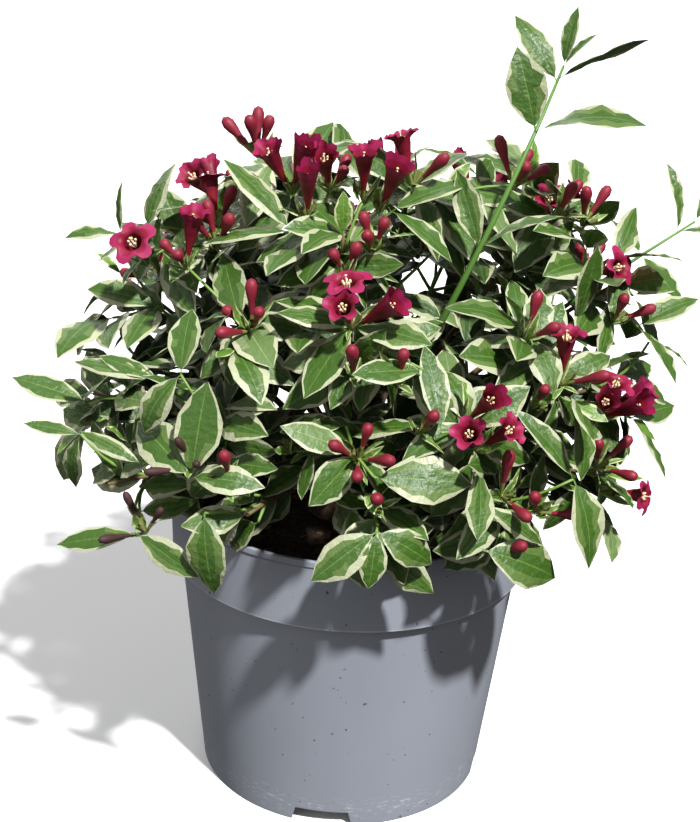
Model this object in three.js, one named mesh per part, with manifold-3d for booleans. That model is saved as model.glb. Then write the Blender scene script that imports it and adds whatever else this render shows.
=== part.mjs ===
// A variegated weigela, a rounded flowering shrub, in its five-litre nursery pot.
// Millimetres, +Z up. The pot stands on z = 0. Many slender boughs rise from a short stool
// hidden in the crown, and each one ends where its own mass of leaves and blossom begins.

import * as THREE from 'three';
import { mergeVertices } from 'three/addons/utils/BufferGeometryUtils.js';
import Module from 'manifold-3d';

const wasm = await Module();
wasm.setup();

// ---------------------------------------------------------------- driving sizes

const SEAT_GAP = 0.3; // between two pieces that touch on the real plant
const TIP_GAP = 0.4; // between the tip of a bough and the stem of its mass, along the route
const SPACE = {
  gap: 0.8, // between the masses of two neighbouring boughs
  middle: 0.64, // where the middle of a mass lies on its stem
  bushyRadius: 50, // of the ball of leaves round that middle
  whipRadius: 22,
  limbClearance: 0.8,
  potClearance: 1.5,
};

const POT = {
  height: 195,
  rimRadius: 115,
  rimBead: 4, // height of the thicker edge at the very top
  beadStep: 0.8,
  bandFootRadius: 112.8,
  bandHeight: 45, // the deep collar round the mouth
  bodyTopRadius: 107.5,
  baseRadius: 91.5,
  wall: 1.8,
  skirtWall: 2.6,
  floorUnderside: 11,
  floorThickness: 2,
  sides: 48,
};
const NOTCH = { count: 4, azimuth: -96, topWidth: 33, footWidth: 42, height: 9.5, below: 1, reach: 25 };
const COMPOST = { level: 178, levelRadius: 57.5, edgeDrop: 2.5 };

const STOOL = {
  flareRadius: 31,
  flareHeight: 3,
  neckRadius: 25.5,
  headRadius: 25,
  headHeight: 18, // from the compost to the middle of the rounded head
  lowestLift: -25,
  arcSteps: 7,
  sides: 20,
};

const BOUGH = {
  footRadius: 2.7,
  tipRadius: 1.9,
  sides: 5,
  steps: 4,
  startLift: 14, // a bough that ends level leaves the stool at this angle
  liftKept: 0.84,
  elbow: 0.5, // how far out the bend lies, as a share of the reach
  startSpacing: 16, // degrees between two boughs on the stool
  spacingRounds: 80,
  massStart: 0.38, // share of the way where the leaves begin
};

const TWIG = {
  footRadius: 1.8,
  tipRadius: 1.2,
  shootFoot: 1.5,
  shootTip: 1.1,
  sides: 3,
  nodeLength: 3,
  leastRise: 0.25, // how far the corners of a piece stand out from the face that it grows from
};
const SIDE_SHOOTS = {
  stations: [0.13, 0.35, 0.56, 0.76], // along the stem of a mass
  angle: [42, 64], // away from the stem
  turnDraw: 15,
  taper: 0.45,
  rise: 0.12,
  length: [0.85, 1.15],
  tries: [1, 0.8, 0.6, 0.45],
};
const LEAF_STATIONS = [0.88, 0.985]; // nodes of the stem that carry leaves alone
const STEM_NODES = [...SIDE_SHOOTS.stations, ...LEAF_STATIONS];
const LEAF = {
  length: 53,
  width: 26,
  sizeDraw: [0.88, 1.1],
  turnDraw: 12,
  widest: 0.42,
  arch: 0.06,
  ribDepth: 0.028,
  tipDroop: 0.12,
  lean: 0.3, // along the twig rather than away from it
  tipLean: 0.52,
  lowDroop: 0.17,
  droopEndsAt: 45, // degrees of lift above which leaves no longer hang
  turns: [0, 22, -22, 44, -44, 66, -66],
  sizes: [1, 0.85, 0.7],
  towardsLight: 0.65,
};
const FLOWER = {
  length: [25, 30],
  mouthRadius: 11.5,
  waist: 0.45,
  throat: 0.7,
  cleft: 0.82,
  lobes: 5,
  splay: [0.2, 0.8],
  splays: 4, // directions tried round each tip
  attempts: 16,
};
const BUD = { length: [17, 27], radius: 3.2, widest: 0.72 };
const LEAST_OVERLAP = 0.01; // cubic millimetres
const MERGE_DISTANCE = 1e-3;
const STEEP = 0.8; // the rise of a direction past which turns are counted from +X

// Each mass by its place: the way and the distance from the stool's head to the tip of its
// stem, how far its side shoots spread, and how many open flowers and buds it carries.
// Azimuth 0 is +X, and -90 is the front. A whip is a long young shoot with pairs of leaves and
// nothing else. `start` moves the place where a mass begins.
const MASSES = [
  { name: 'tall_shoot', azimuth: -11, lift: 68, reach: 289, whip: true, start: 0.5, leaning: true },
  { name: 'crown_top', azimuth: -157, lift: 77, reach: 210, spread: 44, open: 6, buds: 5 },
  { name: 'top_centre', azimuth: -50, lift: 79, reach: 213, spread: 42, open: 5, buds: 2 },
  { name: 'top_left', azimuth: -172, lift: 57, reach: 204, spread: 46, open: 3, buds: 8 },
  { name: 'centre_upper', azimuth: -98, lift: 65, reach: 202, spread: 42, open: 1, buds: 6 },
  { name: 'top_right', azimuth: 12, lift: 55, reach: 224, spread: 48, open: 1, buds: 6 },
  { name: 'right_upper', azimuth: -7, lift: 43, reach: 219, spread: 50, open: 2, buds: 4 },
  { name: 'side_shoot', azimuth: 8, lift: 40, reach: 264, whip: true, start: 0.84 },
  { name: 'right', azimuth: -12, lift: 28, reach: 188, spread: 44, open: 1, buds: 3 },
  { name: 'right_middle', azimuth: -40, lift: 40, reach: 187, spread: 44, open: 2, buds: 4 },
  { name: 'right_low', azimuth: -24, lift: 14, reach: 166, spread: 44, open: 5, buds: 5 },
  { name: 'front_right', azimuth: -64, lift: 32, reach: 176, spread: 42, open: 4, buds: 3 },
  { name: 'front_right_low', azimuth: -54, lift: 14, reach: 157, spread: 42, open: 1, buds: 4 },
  { name: 'front_upper', azimuth: -92, lift: 50, reach: 192, spread: 42, open: 4, buds: 3 },
  { name: 'front', azimuth: -90, lift: 29, reach: 170, spread: 42, open: 0, buds: 6 },
  { name: 'front_low', azimuth: -84, lift: 15, reach: 150, spread: 42, open: 0, buds: 1 },
  { name: 'front_left', azimuth: -121, lift: 28, reach: 172, spread: 44, open: 0, buds: 4 },
  { name: 'front_left_low', azimuth: -113, lift: 14, reach: 150, spread: 42, open: 0, buds: 0 },
  { name: 'front_left_upper', azimuth: -124, lift: 49, reach: 190, spread: 44, open: 0, buds: 5 },
  { name: 'left_low', azimuth: -148, lift: 10, reach: 168, spread: 44, open: 0, buds: 3 },
  { name: 'left', azimuth: -166, lift: 22, reach: 174, spread: 48, open: 0, buds: 2 },
  { name: 'left_upper', azimuth: -177, lift: 42, reach: 194, spread: 46, open: 0, buds: 3 },
  { name: 'back_left', azimuth: 162, lift: 13, reach: 164, spread: 50, open: 1, buds: 3 },
  { name: 'back_low', azimuth: 120, lift: 14, reach: 160, spread: 50, open: 1, buds: 3 },
  { name: 'back', azimuth: 78, lift: 14, reach: 158, spread: 50, open: 1, buds: 3 },
  { name: 'back_right', azimuth: 34, lift: 15, reach: 164, spread: 50, open: 1, buds: 3 },
  { name: 'back_upper_left', azimuth: 126, lift: 44, reach: 188, spread: 54, open: 3, buds: 5 },
  { name: 'back_upper_right', azimuth: 62, lift: 44, reach: 188, spread: 54, open: 3, buds: 5 },
];
// The tall shoot sets out low and to the front, and then bends back and up
const LEANING = { azimuth: -61, lift: 51, elbow: 0.84 };
const WHIP = {
  // how far up the shoot each pair of leaves stands, how long they are and how upright
  pairs: [[0.04, 50, 0.4], [0.58, 58, 0.5], [0.86, 48, 0.5], [0.97, 38, 0.74]],
  leafWidth: 0.4,
};
const SEED = { first: 4187, step: 977, factor: 16807, modulus: 2147483647 };

const FINISH = {
  pot: { color: 0x8d939f, roughness: 0.55 },
  compost: { color: 0x3b2c22, roughness: 0.95 },
  wood: { color: 0x6f5a41, roughness: 0.85 },
  youngShoot: { color: 0x6fa040, roughness: 0.6 },
  foliage: { color: 0x6f9a58, roughness: 0.6 },
};

// ---------------------------------------------------------------- small helpers

// Park and Miller's generator: the same numbers in every run
function seededDraw(seed) {
  let state = seed;
  return (low, high) => {
    state = (state * SEED.factor) % SEED.modulus;
    return low + ((high - low) * state) / SEED.modulus;
  };
}

function direction(azimuth, lift) {
  const a = THREE.MathUtils.degToRad(azimuth);
  const e = THREE.MathUtils.degToRad(lift);
  return new THREE.Vector3(Math.cos(e) * Math.cos(a), Math.cos(e) * Math.sin(a), Math.sin(e));
}

// The point reached from `origin` by steps of [axis, distance]
function offset(origin, ...steps) {
  const point = origin.clone();
  for (const [axis, distance] of steps) point.addScaledVector(axis, distance);
  return point;
}

// A unit vector square to `axis`, turned about it by `angle` degrees
function squareTo(axis, angle) {
  const steep = Math.abs(axis.z) > STEEP;
  const reference = steep ? new THREE.Vector3(1, 0, 0) : new THREE.Vector3(0, 0, 1);
  const square = reference.cross(axis).normalize();
  return square.applyAxisAngle(axis, THREE.MathUtils.degToRad(angle));
}

// A ring of `sides` corners round a point, anticlockwise seen from the end of `axis`
function ring(point, axis, radius, sides = TWIG.sides) {
  const corners = [];
  for (let k = 0; k < sides; k += 1) {
    corners.push(offset(point, [squareTo(axis, (360 * k) / sides), radius]));
  }
  return corners;
}

function solidFromFaces(positions, corners) {
  const vertProperties = new Float32Array(positions);
  const triVerts = new Uint32Array(corners);
  return new wasm.Manifold(new wasm.Mesh({ numProp: 3, vertProperties, triVerts }));
}

function solidFromGeometry(geometry) {
  geometry.deleteAttribute('normal');
  geometry.deleteAttribute('uv');
  const merged = mergeVertices(geometry, MERGE_DISTANCE);
  const corners = [...merged.index.array];
  const kept = [];
  for (let i = 0; i < corners.length; i += 3) {
    const [a, b, c] = corners.slice(i, i + 3);
    if (a !== b && b !== c && c !== a) kept.push(a, b, c);
  }
  return solidFromFaces(merged.attributes.position.array, kept);
}

function meshFromSolid(name, solid, material) {
  const { vertProperties, triVerts } = solid.getMesh();
  const geometry = new THREE.BufferGeometry();
  geometry.setAttribute('position', new THREE.BufferAttribute(vertProperties, 3));
  geometry.setIndex(new THREE.BufferAttribute(triVerts, 1));
  geometry.computeVertexNormals();
  const mesh = new THREE.Mesh(geometry, material);
  mesh.name = name;
  return mesh;
}

function matt(finish) {
  return new THREE.MeshStandardMaterial({ ...finish, metalness: 0 });
}

// A body turned about the Z axis from [radius, height] corners
function turned(profile, sides) {
  const corners = profile.map(([radius, height]) => new THREE.Vector2(radius, height));
  return solidFromGeometry(new THREE.LatheGeometry(corners, sides).rotateX(Math.PI / 2));
}

// ---------------------------------------------------------------- growing skins

// The ways in which a sleeve can be laid from its base to its first loop: how many corners on
// it starts, and whether its first triangle has one corner on the base or two
const TWISTS = [0, 1, 2].flatMap((turn) => [true, false].map((farFirst) => ({ turn, farFirst })));

// A closed skin of triangles. Every piece of a plant grows out of one face of it: the face
// makes way for a sleeve of new faces through one or more loops of corners, up to a tip or a
// flat end. All loops run anticlockwise seen from the end of the piece.
class Skin {
  constructor(foot, loops, tip, twist) {
    this.points = [];
    this.faces = [];
    const base = this.add(foot);
    for (let k = 2; k < base.length; k += 1) this.faces.push([base[0], base[k], base[k - 1]]);
    this.sleeves = this.sleeve(base, loops, tip, twist);
  }

  add(corners) {
    return corners.map((corner) => this.points.push(corner) - 1);
  }

  // Joins two loops face by face, whatever their numbers of corners
  bridge(near, far, farFirst) {
    const made = [];
    let i = 0;
    let j = 0;
    while (i < near.length || j < far.length) {
      const a = near[i % near.length];
      const b = far[j % far.length];
      const lead = j * near.length - i * far.length;
      const nearIsBehind = lead > 0 || (lead === 0 && !farFirst);
      if (nearIsBehind) i += 1;
      else j += 1;
      const c = nearIsBehind ? near[i % near.length] : far[j % far.length];
      made.push(this.faces.push([a, c, b]) - 1);
    }
    return made;
  }

  // A twist lays the stretch from the base to the first loop another way
  sleeve(base, loops, tip, twist = TWISTS[0]) {
    let last = base;
    const sleeves = loops.map((corners, k) => {
      const { turn, farFirst } = k === 0 ? twist : TWISTS[0];
      const next = this.add(this.facing(last, corners, turn));
      const made = this.bridge(last, next, farFirst);
      last = next;
      return made;
    });
    if (tip) {
      const [end] = this.add([tip]);
      last.forEach((corner, k) => this.faces.push([corner, last[(k + 1) % last.length], end]));
    } else {
      for (let k = 2; k < last.length; k += 1) {
        sleeves.push([this.faces.push([last[0], last[k - 1], last[k]]) - 1]);
      }
    }
    return sleeves;
  }

  // The loop started at the corner that lies best against the first corner of the last loop,
  // or at one that is `extra` corners on
  facing(last, corners, extra) {
    const count = corners.length;
    const spread = (turn) =>
      last.reduce((sum, index, k) => {
        const other = Math.round((k * count) / last.length) + turn;
        return sum + this.points[index].distanceToSquared(corners[other % count]);
      }, 0);
    const turns = corners.map((_, turn) => turn);
    const best = turns.reduce((a, b) => (spread(b) < spread(a) ? b : a));
    const first = (best + extra) % count;
    return [...corners.slice(first), ...corners.slice(0, first)];
  }

  grow(face, loops, tip, twist) {
    const base = this.faces[face];
    this.faces[face] = null;
    return this.sleeve(base, loops, tip, twist);
  }

  corners(face) {
    return this.faces[face].map((index) => this.points[index]);
  }

  plane(face) {
    return new THREE.Plane().setFromCoplanarPoints(...this.corners(face));
  }

  middle(face) {
    const [a, b, c] = this.corners(face);
    return a.clone().add(b).add(c).divideScalar(3);
  }

  // Whether an edge passes through a face that it shares no corner with
  crossesItself() {
    const faces = this.faces.filter(Boolean);
    return faces.some((face) =>
      faces.some((other) =>
        other.some((start, k) => this.pierces(start, other[(k + 1) % other.length], face)),
      ),
    );
  }

  pierces(start, end, face) {
    if (face.includes(start) || face.includes(end)) return false;
    const along = this.points[end].clone().sub(this.points[start]);
    const ray = new THREE.Ray(this.points[start], along.clone().normalize());
    const corners = face.map((index) => this.points[index]);
    const hit = ray.intersectTriangle(...corners, false, new THREE.Vector3());
    return hit !== null && hit.distanceTo(ray.origin) <= along.length();
  }

  solid() {
    const positions = this.points.flatMap((point) => point.toArray());
    return solidFromFaces(positions, this.faces.filter(Boolean).flat());
  }
}

// A tapering limb through `points`, its radius falling evenly from foot to tip
function limb(points, footRadius, tipRadius, sides) {
  const rings = points.map((point, i) => {
    const along = points[Math.min(i + 1, points.length - 1)].clone();
    along.sub(points[Math.max(i - 1, 0)]).normalize();
    const radius = THREE.MathUtils.lerp(footRadius, tipRadius, i / (points.length - 1));
    return ring(point, along, radius, sides);
  });
  return new Skin(rings[0], rings.slice(1));
}

// ---------------------------------------------------------------- pot and compost

function wallRadiusAt(height) {
  const bandFoot = POT.height - POT.bandHeight;
  return THREE.MathUtils.mapLinear(height, 0, bandFoot, POT.baseRadius, POT.bodyTopRadius);
}

// Corners of the inside, from the floor's edge up to the lip
function insideProfile(gap) {
  const floorTop = POT.floorUnderside + POT.floorThickness;
  const bandFoot = POT.height - POT.bandHeight;
  const inset = POT.wall + gap;
  return [
    [wallRadiusAt(floorTop) - inset, floorTop + gap],
    [POT.bodyTopRadius - inset, bandFoot + gap],
    [POT.bandFootRadius - inset, bandFoot + POT.wall + gap],
  ];
}

function mouthRadiusAt(height) {
  const bandFoot = POT.height - POT.bandHeight + POT.wall;
  const lip = POT.rimRadius - POT.wall - POT.beadStep;
  return THREE.MathUtils.mapLinear(height, bandFoot, POT.height, POT.bandFootRadius - POT.wall, lip);
}

function potSolid() {
  const bandFoot = POT.height - POT.bandHeight;
  const skirtInside = POT.baseRadius - POT.skirtWall;
  const outside = [
    [POT.baseRadius, 0],
    [POT.bodyTopRadius, bandFoot - POT.wall],
    [POT.bandFootRadius, bandFoot],
    [POT.rimRadius - POT.beadStep, POT.height - POT.rimBead - POT.beadStep],
    [POT.rimRadius, POT.height - POT.rimBead],
    [POT.rimRadius, POT.height],
  ];
  const inside = [[mouthRadiusAt(POT.height), POT.height], ...insideProfile(0).reverse()];
  const profile = [
    [0, POT.floorUnderside],
    [skirtInside, POT.floorUnderside],
    [skirtInside, 0],
    ...outside,
    ...inside,
    [0, POT.floorUnderside + POT.floorThickness],
  ];
  let pot = turned(profile, POT.sides);
  for (let i = 0; i < NOTCH.count; i += 1) {
    pot = pot.subtract(notchCutter(NOTCH.azimuth + (360 * i) / NOTCH.count));
  }
  return pot;
}

// A drainage notch in the skirt, wider at the foot than at the top
function notchCutter(azimuth) {
  const outline = new THREE.Shape([
    new THREE.Vector2(-NOTCH.footWidth / 2, -NOTCH.below),
    new THREE.Vector2(NOTCH.footWidth / 2, -NOTCH.below),
    new THREE.Vector2(NOTCH.topWidth / 2, NOTCH.height),
    new THREE.Vector2(-NOTCH.topWidth / 2, NOTCH.height),
  ]);
  const cutter = new THREE.ExtrudeGeometry(outline, { depth: NOTCH.reach, bevelEnabled: false });
  cutter.rotateX(Math.PI / 2);
  cutter.translate(0, POT.baseRadius + NOTCH.reach / 2, 0);
  cutter.rotateZ(THREE.MathUtils.degToRad(azimuth - 90));
  return solidFromGeometry(cutter);
}

function compostSolid() {
  const wall = insideProfile(SEAT_GAP);
  const floor = POT.floorUnderside + POT.floorThickness + SEAT_GAP;
  const edge = [mouthRadiusAt(COMPOST.level) - SEAT_GAP, COMPOST.level - COMPOST.edgeDrop];
  const top = [[COMPOST.levelRadius, COMPOST.level], [0, COMPOST.level]];
  return turned([[0, floor], ...wall, edge, ...top], POT.sides);
}

// ---------------------------------------------------------------- stool and boughs

const stoolFoot = COMPOST.level + SEAT_GAP;
const head = new THREE.Vector3(0, 0, stoolFoot + STOOL.headHeight);

function stoolProfile(gap) {
  const profile = [
    [0, 0],
    [STOOL.flareRadius + gap, 0],
    [STOOL.neckRadius + gap, STOOL.flareHeight],
  ];
  for (let i = 0; i <= STOOL.arcSteps; i += 1) {
    const lift = THREE.MathUtils.lerp(STOOL.lowestLift, 90, i / STOOL.arcSteps);
    const outward = direction(0, lift).multiplyScalar(STOOL.headRadius + gap);
    profile.push([i === STOOL.arcSteps ? 0 : outward.x, STOOL.headHeight + outward.z]);
  }
  return profile;
}

// Directions in which the boughs leave the stool, pushed apart until none crowd each other
function boughStarts() {
  const starts = MASSES.map(({ azimuth, lift, leaning }) => {
    if (leaning) return direction(LEANING.azimuth, LEANING.lift);
    return direction(azimuth, BOUGH.startLift + BOUGH.liftKept * lift);
  });
  const nearest = 2 * Math.sin(THREE.MathUtils.degToRad(BOUGH.startSpacing) / 2);
  for (let round = 0; round < BOUGH.spacingRounds; round += 1) {
    for (let i = 0; i < starts.length; i += 1) {
      for (let j = i + 1; j < starts.length; j += 1) {
        const apart = starts[j].clone().sub(starts[i]);
        const short = nearest - apart.length();
        if (short > 0) {
          apart.setLength(short / 2);
          starts[i].sub(apart).normalize();
          starts[j].add(apart).normalize();
        }
      }
    }
  }
  return starts;
}

function routes() {
  return boughStarts().map((start, i) => {
    const mass = MASSES[i];
    const foot = offset(head, [start, STOOL.headRadius + SEAT_GAP]);
    const bend = mass.leaning ? LEANING.elbow : BOUGH.elbow;
    const elbow = offset(head, [start, mass.reach * bend]);
    const tip = offset(head, [direction(mass.azimuth, mass.lift), mass.reach]);
    return new THREE.QuadraticBezierCurve3(foot, elbow, tip);
  });
}

function stretch(route, from, to, steps) {
  const points = [];
  for (let i = 0; i <= steps; i += 1) {
    points.push(route.getPoint(THREE.MathUtils.lerp(from, to, i / steps)));
  }
  return points;
}

const startOf = (mass) => mass.start ?? BOUGH.massStart;
const paths = routes();

function boughSolid(i, gap = 0) {
  const points = stretch(paths[i], 0, startOf(MASSES[i]), BOUGH.steps);
  return limb(points, BOUGH.footRadius + gap, BOUGH.tipRadius + gap, BOUGH.sides).solid();
}

// ---------------------------------------------------------------- the space of each mass

const sites = paths.map((route, i) => {
  return route.getPoint(THREE.MathUtils.lerp(startOf(MASSES[i]), 1, SPACE.middle));
});

const radii = MASSES.map((mass) => (mass.whip ? SPACE.whipRadius : SPACE.bushyRadius));

// Whether a point lies on its own mass's side of every border, by half the gap. The border of
// two masses is the plane in which the balls of leaves round their middles meet.
function inOwnSpace(point, i) {
  return sites.every((other, j) => {
    if (j === i) return true;
    const apart = other.clone().sub(sites[i]);
    const distance = apart.length();
    const border = (distance + (radii[i] ** 2 - radii[j] ** 2) / distance) / 2;
    return point.clone().sub(sites[i]).dot(apart) / distance < border - SPACE.gap / 2;
  });
}

// The room that the pot and its filling take, with the clearance round it
function potRoom() {
  const outer = POT.rimRadius + SPACE.potClearance;
  const inner = mouthRadiusAt(POT.height) - SPACE.potClearance;
  const foot = -POT.height;
  const rim = POT.height + SPACE.potClearance;
  const filling = COMPOST.level + SPACE.potClearance;
  const outside = [[0, foot], [outer, foot], [outer, rim]];
  const inside = [[inner, rim], [inner, filling], [0, filling]];
  return turned([...outside, ...inside], POT.sides);
}

// The solids that every leaf and twig stays clear of
const taken = [
  potRoom(),
  turned(stoolProfile(SPACE.limbClearance), STOOL.sides).translate([0, 0, stoolFoot]),
  ...paths.map((_, i) => boughSolid(i, SPACE.limbClearance)),
].map((solid) => ({ solid, box: solid.boundingBox() }));

function boxesApart(a, b) {
  return [0, 1, 2].some((k) => a.min[k] > b.max[k] || b.min[k] > a.max[k]);
}

function meets(solid, others) {
  const box = solid.boundingBox();
  return others.some((other) => {
    if (boxesApart(box, other.box)) return false;
    return other.solid.intersect(solid).volume() > LEAST_OVERLAP;
  });
}

// ---------------------------------------------------------------- leaves and blossom

// The up side of a leaf that grows from `root` along `way`: towards the sky and the light
function leafUp(root, way) {
  const outward = root.clone().sub(head).normalize();
  const up = new THREE.Vector3(0, 0, 1).addScaledVector(outward, LEAF.towardsLight);
  return up.addScaledVector(way, -up.dot(way)).normalize();
}

// A leaf widens to its two edges, with its rib below, and then runs to a tip that hangs
function leafShape(root, way, length, width) {
  const up = leafUp(root, way);
  const across = way.clone().cross(up);
  const widest = offset(root, [way, LEAF.widest * length], [up, LEAF.arch * length]);
  const left = offset(widest, [across, -width / 2]);
  const right = offset(widest, [across, width / 2]);
  const rib = offset(widest, [up, -LEAF.ribDepth * length]);
  const tip = offset(root, [way, length], [up, -LEAF.tipDroop * length]);
  return { loops: [[left, right, rib]], tip };
}

function budShape(root, way, length) {
  const widest = offset(root, [way, BUD.widest * length]);
  return { loops: [ring(widest, way, BUD.radius)], tip: offset(root, [way, length]) };
}

// A side shoot tapers, with a short stretch in its middle and one at its tip to grow from
function shootShape(root, way, length) {
  const stops = [length / 2 - TWIG.nodeLength, length / 2, length - TWIG.nodeLength, length];
  const loops = stops.map((stop) => {
    const radius = THREE.MathUtils.lerp(TWIG.shootFoot, TWIG.shootTip, stop / length);
    return ring(offset(root, [way, stop]), way, radius);
  });
  return { loops };
}

// A trumpet that flares into a five-lobed mouth with a sunken throat
function flowerShape(root, way, length) {
  const corners = [];
  for (let k = 0; k < 2 * FLOWER.lobes; k += 1) {
    const lobe = k % 2 === 0;
    const radius = FLOWER.mouthRadius * (lobe ? 1 : FLOWER.waist);
    const depth = length * (lobe ? 1 : FLOWER.cleft);
    corners.push(offset(root, [way, depth], [squareTo(way, (180 * k) / FLOWER.lobes), radius]));
  }
  return { loops: [corners], tip: offset(root, [way, length * FLOWER.throat]) };
}

// ---------------------------------------------------------------- one mass

// A mass is one skin. Its pieces are also kept one by one, each with its box, so that the
// next piece can be tried against them.
class Mass {
  constructor(row, i) {
    this.row = row;
    this.i = i;
    this.draw = seededDraw(SEED.first + SEED.step * i);
    this.route = paths[i];
    this.from = startOf(row) + TIP_GAP / this.route.getLength();
    this.nodes = row.whip ? WHIP.pairs.map(([station]) => station) : STEM_NODES;
    this.skin = limb(this.stemPoints(), TWIG.footRadius, TWIG.tipRadius, TWIG.sides);
    this.pieces = [];
    this.keep('stem', this.skin.solid());
  }

  // The stem has a short stretch at each node, whose faces the shoots and leaves grow from
  stemPoints() {
    const length = this.route.getLength() * (1 - this.from);
    const half = TWIG.nodeLength / 2 / length;
    const stations = [0, ...this.nodes.flatMap((node) => [node - half, node + half])];
    return stations.map((station) => this.route.getPoint(this.onRoute(station)));
  }

  onRoute(station) {
    return THREE.MathUtils.lerp(this.from, 1, station);
  }

  stemNode(k) {
    const way = this.route.getTangent(this.onRoute(this.nodes[k]));
    return { name: 'stem', way, faces: this.skin.sleeves[2 * k + 1] };
  }

  keep(name, solid) {
    this.pieces.push({ name, solid, box: solid.boundingBox() });
  }

  // The free face of a node that looks most nearly along `way`
  faceTowards(node, way) {
    const free = node.faces.filter((face) => this.skin.faces[face]);
    const score = (face) => this.skin.plane(face).normal.dot(way);
    return free.length ? free.reduce((a, b) => (score(b) > score(a) ? b : a)) : null;
  }

  // Adds a shape on a face where all of it stands out from that face, keeps to the mass's own
  // space and meets neither itself nor another piece
  place(node, way, shapeOf, name) {
    const face = this.faceTowards(node, way);
    if (face === null) return null;
    const root = this.skin.middle(face);
    const shape = shapeOf(root);
    const corners = [...shape.loops.flat(), ...(shape.tip ? [shape.tip] : [])];
    const plane = this.skin.plane(face);
    if (corners.some((corner) => plane.distanceToPoint(corner) < TWIG.leastRise)) return null;
    if (!corners.every((corner) => inOwnSpace(corner, this.i))) return null;
    const pieceWith = (twist) => new Skin(this.skin.corners(face), shape.loops, shape.tip, twist);
    const twist = TWISTS.find((each) => !pieceWith(each).crossesItself());
    if (!twist) return null;
    const solid = pieceWith(twist).solid();
    if (solid.volume() <= 0 || meets(solid, taken) || meets(solid, this.pieces)) return null;
    this.keep(name, solid);
    return this.skin.grow(face, shape.loops, shape.tip, twist);
  }

  // How far the leaves hang: fully at the skirt of the crown, not at all at its top
  hang() {
    return this.row.whip ? 0 : LEAF.lowDroop * Math.max(0, 1 - this.row.lift / LEAF.droopEndsAt);
  }

  // A leaf that finds no room is turned about its twig or made smaller, and then skipped
  leaf(node, angle, lean, length, width) {
    for (const size of LEAF.sizes) {
      for (const turn of LEAF.turns) {
        const way = squareTo(node.way, angle + turn).lerp(node.way, lean);
        way.z -= this.hang();
        way.normalize();
        const shapeOf = (root) => leafShape(root, way, length * size, width * size);
        if (this.place(node, way, shapeOf, `leaf ${this.pieces.length}`)) return;
      }
    }
  }

  pairOfLeaves(node, angle, lean, length, width) {
    for (const half of [0, 180]) {
      const size = this.draw(...LEAF.sizeDraw);
      const turn = this.draw(-LEAF.turnDraw, LEAF.turnDraw);
      this.leaf(node, angle + half + turn, lean, length * size, width * size);
    }
  }

  // A side shoot that finds no room is made shorter, and then skipped
  sideShoot(stemNode, angle, station, name) {
    const lean = THREE.MathUtils.degToRad(this.draw(...SIDE_SHOOTS.angle));
    const way = squareTo(stemNode.way, angle).multiplyScalar(Math.sin(lean));
    way.addScaledVector(stemNode.way, Math.cos(lean));
    way.z += SIDE_SHOOTS.rise;
    way.normalize();
    const taper = 1 - SIDE_SHOOTS.taper * station;
    const fullLength = this.row.spread * taper * this.draw(...SIDE_SHOOTS.length);
    const turn = this.draw(0, 180);
    for (const share of SIDE_SHOOTS.tries) {
      const shapeOf = (root) => shootShape(root, way, fullLength * share);
      const sleeves = this.place(stemNode, way, shapeOf, name);
      if (sleeves) {
        const middle = { name, way, faces: sleeves[1] };
        const tip = { name, way, faces: [...sleeves[3], ...sleeves[4]] };
        return { turn, middle, tip };
      }
    }
    return null;
  }

  // Opposite side shoots, each pair at right angles to the last
  sideShoots() {
    const phase = this.draw(0, 90);
    const shoots = [];
    SIDE_SHOOTS.stations.forEach((station, k) => {
      for (const half of [0, 180]) {
        const turn = this.draw(-SIDE_SHOOTS.turnDraw, SIDE_SHOOTS.turnDraw);
        const angle = phase + 90 * k + half + turn;
        shoots.push(this.sideShoot(this.stemNode(k), angle, station, `shoot ${shoots.length}`));
      }
    });
    return shoots.filter(Boolean);
  }

  // Open flowers first, then buds, dealt out over the tips of the shoots. One that finds no
  // room is splayed another way and then tried on the next tip.
  blossom(tips) {
    for (let k = 0; k < this.row.open + this.row.buds; k += 1) {
      const open = k < this.row.open;
      const length = this.draw(...(open ? FLOWER.length : BUD.length));
      const splay = this.draw(...FLOWER.splay);
      const angle = this.draw(0, 360);
      for (let attempt = 0; attempt < FLOWER.attempts; attempt += 1) {
        const node = tips[(k + Math.floor(attempt / FLOWER.splays)) % tips.length];
        const outward = this.outwardFrom(node);
        const side = squareTo(outward, angle + (360 * attempt) / FLOWER.splays);
        const way = node.way.clone().add(outward).addScaledVector(side, splay).normalize();
        const shapeOf = (root) => (open ? flowerShape : budShape)(root, way, length);
        if (this.place(node, way, shapeOf, `blossom ${k}`)) break;
      }
    }
  }

  outwardFrom(node) {
    const face = node.faces.find((each) => this.skin.faces[each]);
    return face === undefined ? node.way : this.skin.middle(face).sub(head).normalize();
  }

  growBushy() {
    const shoots = this.sideShoots();
    const last = this.nodes.length - 1;
    const stemTip = this.stemNode(last);
    stemTip.faces = [...stemTip.faces, ...this.skin.sleeves[2 * last + 2]];
    this.blossom([stemTip, ...shoots.map((shoot) => shoot.tip).reverse()]);
    const { length, width } = LEAF;
    this.pairOfLeaves(stemTip, 90, LEAF.tipLean, length, width);
    for (let k = last - 1; k >= 0; k -= 1) {
      this.pairOfLeaves(this.stemNode(k), 90 * k, LEAF.lean, length, width);
    }
    for (const { tip, turn } of shoots) {
      this.pairOfLeaves(tip, turn, LEAF.tipLean, length, width);
    }
    for (const { middle, turn } of shoots) {
      this.pairOfLeaves(middle, turn + 90, LEAF.lean, length, width);
    }
  }

  growWhip() {
    WHIP.pairs.forEach(([, length, lean], k) => {
      this.pairOfLeaves(this.stemNode(k), 90 * k, lean, length, length * WHIP.leafWidth);
    });
  }

  solid() {
    if (this.row.whip) this.growWhip();
    else this.growBushy();
    return this.skin.solid();
  }
}

// ---------------------------------------------------------------- the whole plant

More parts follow.
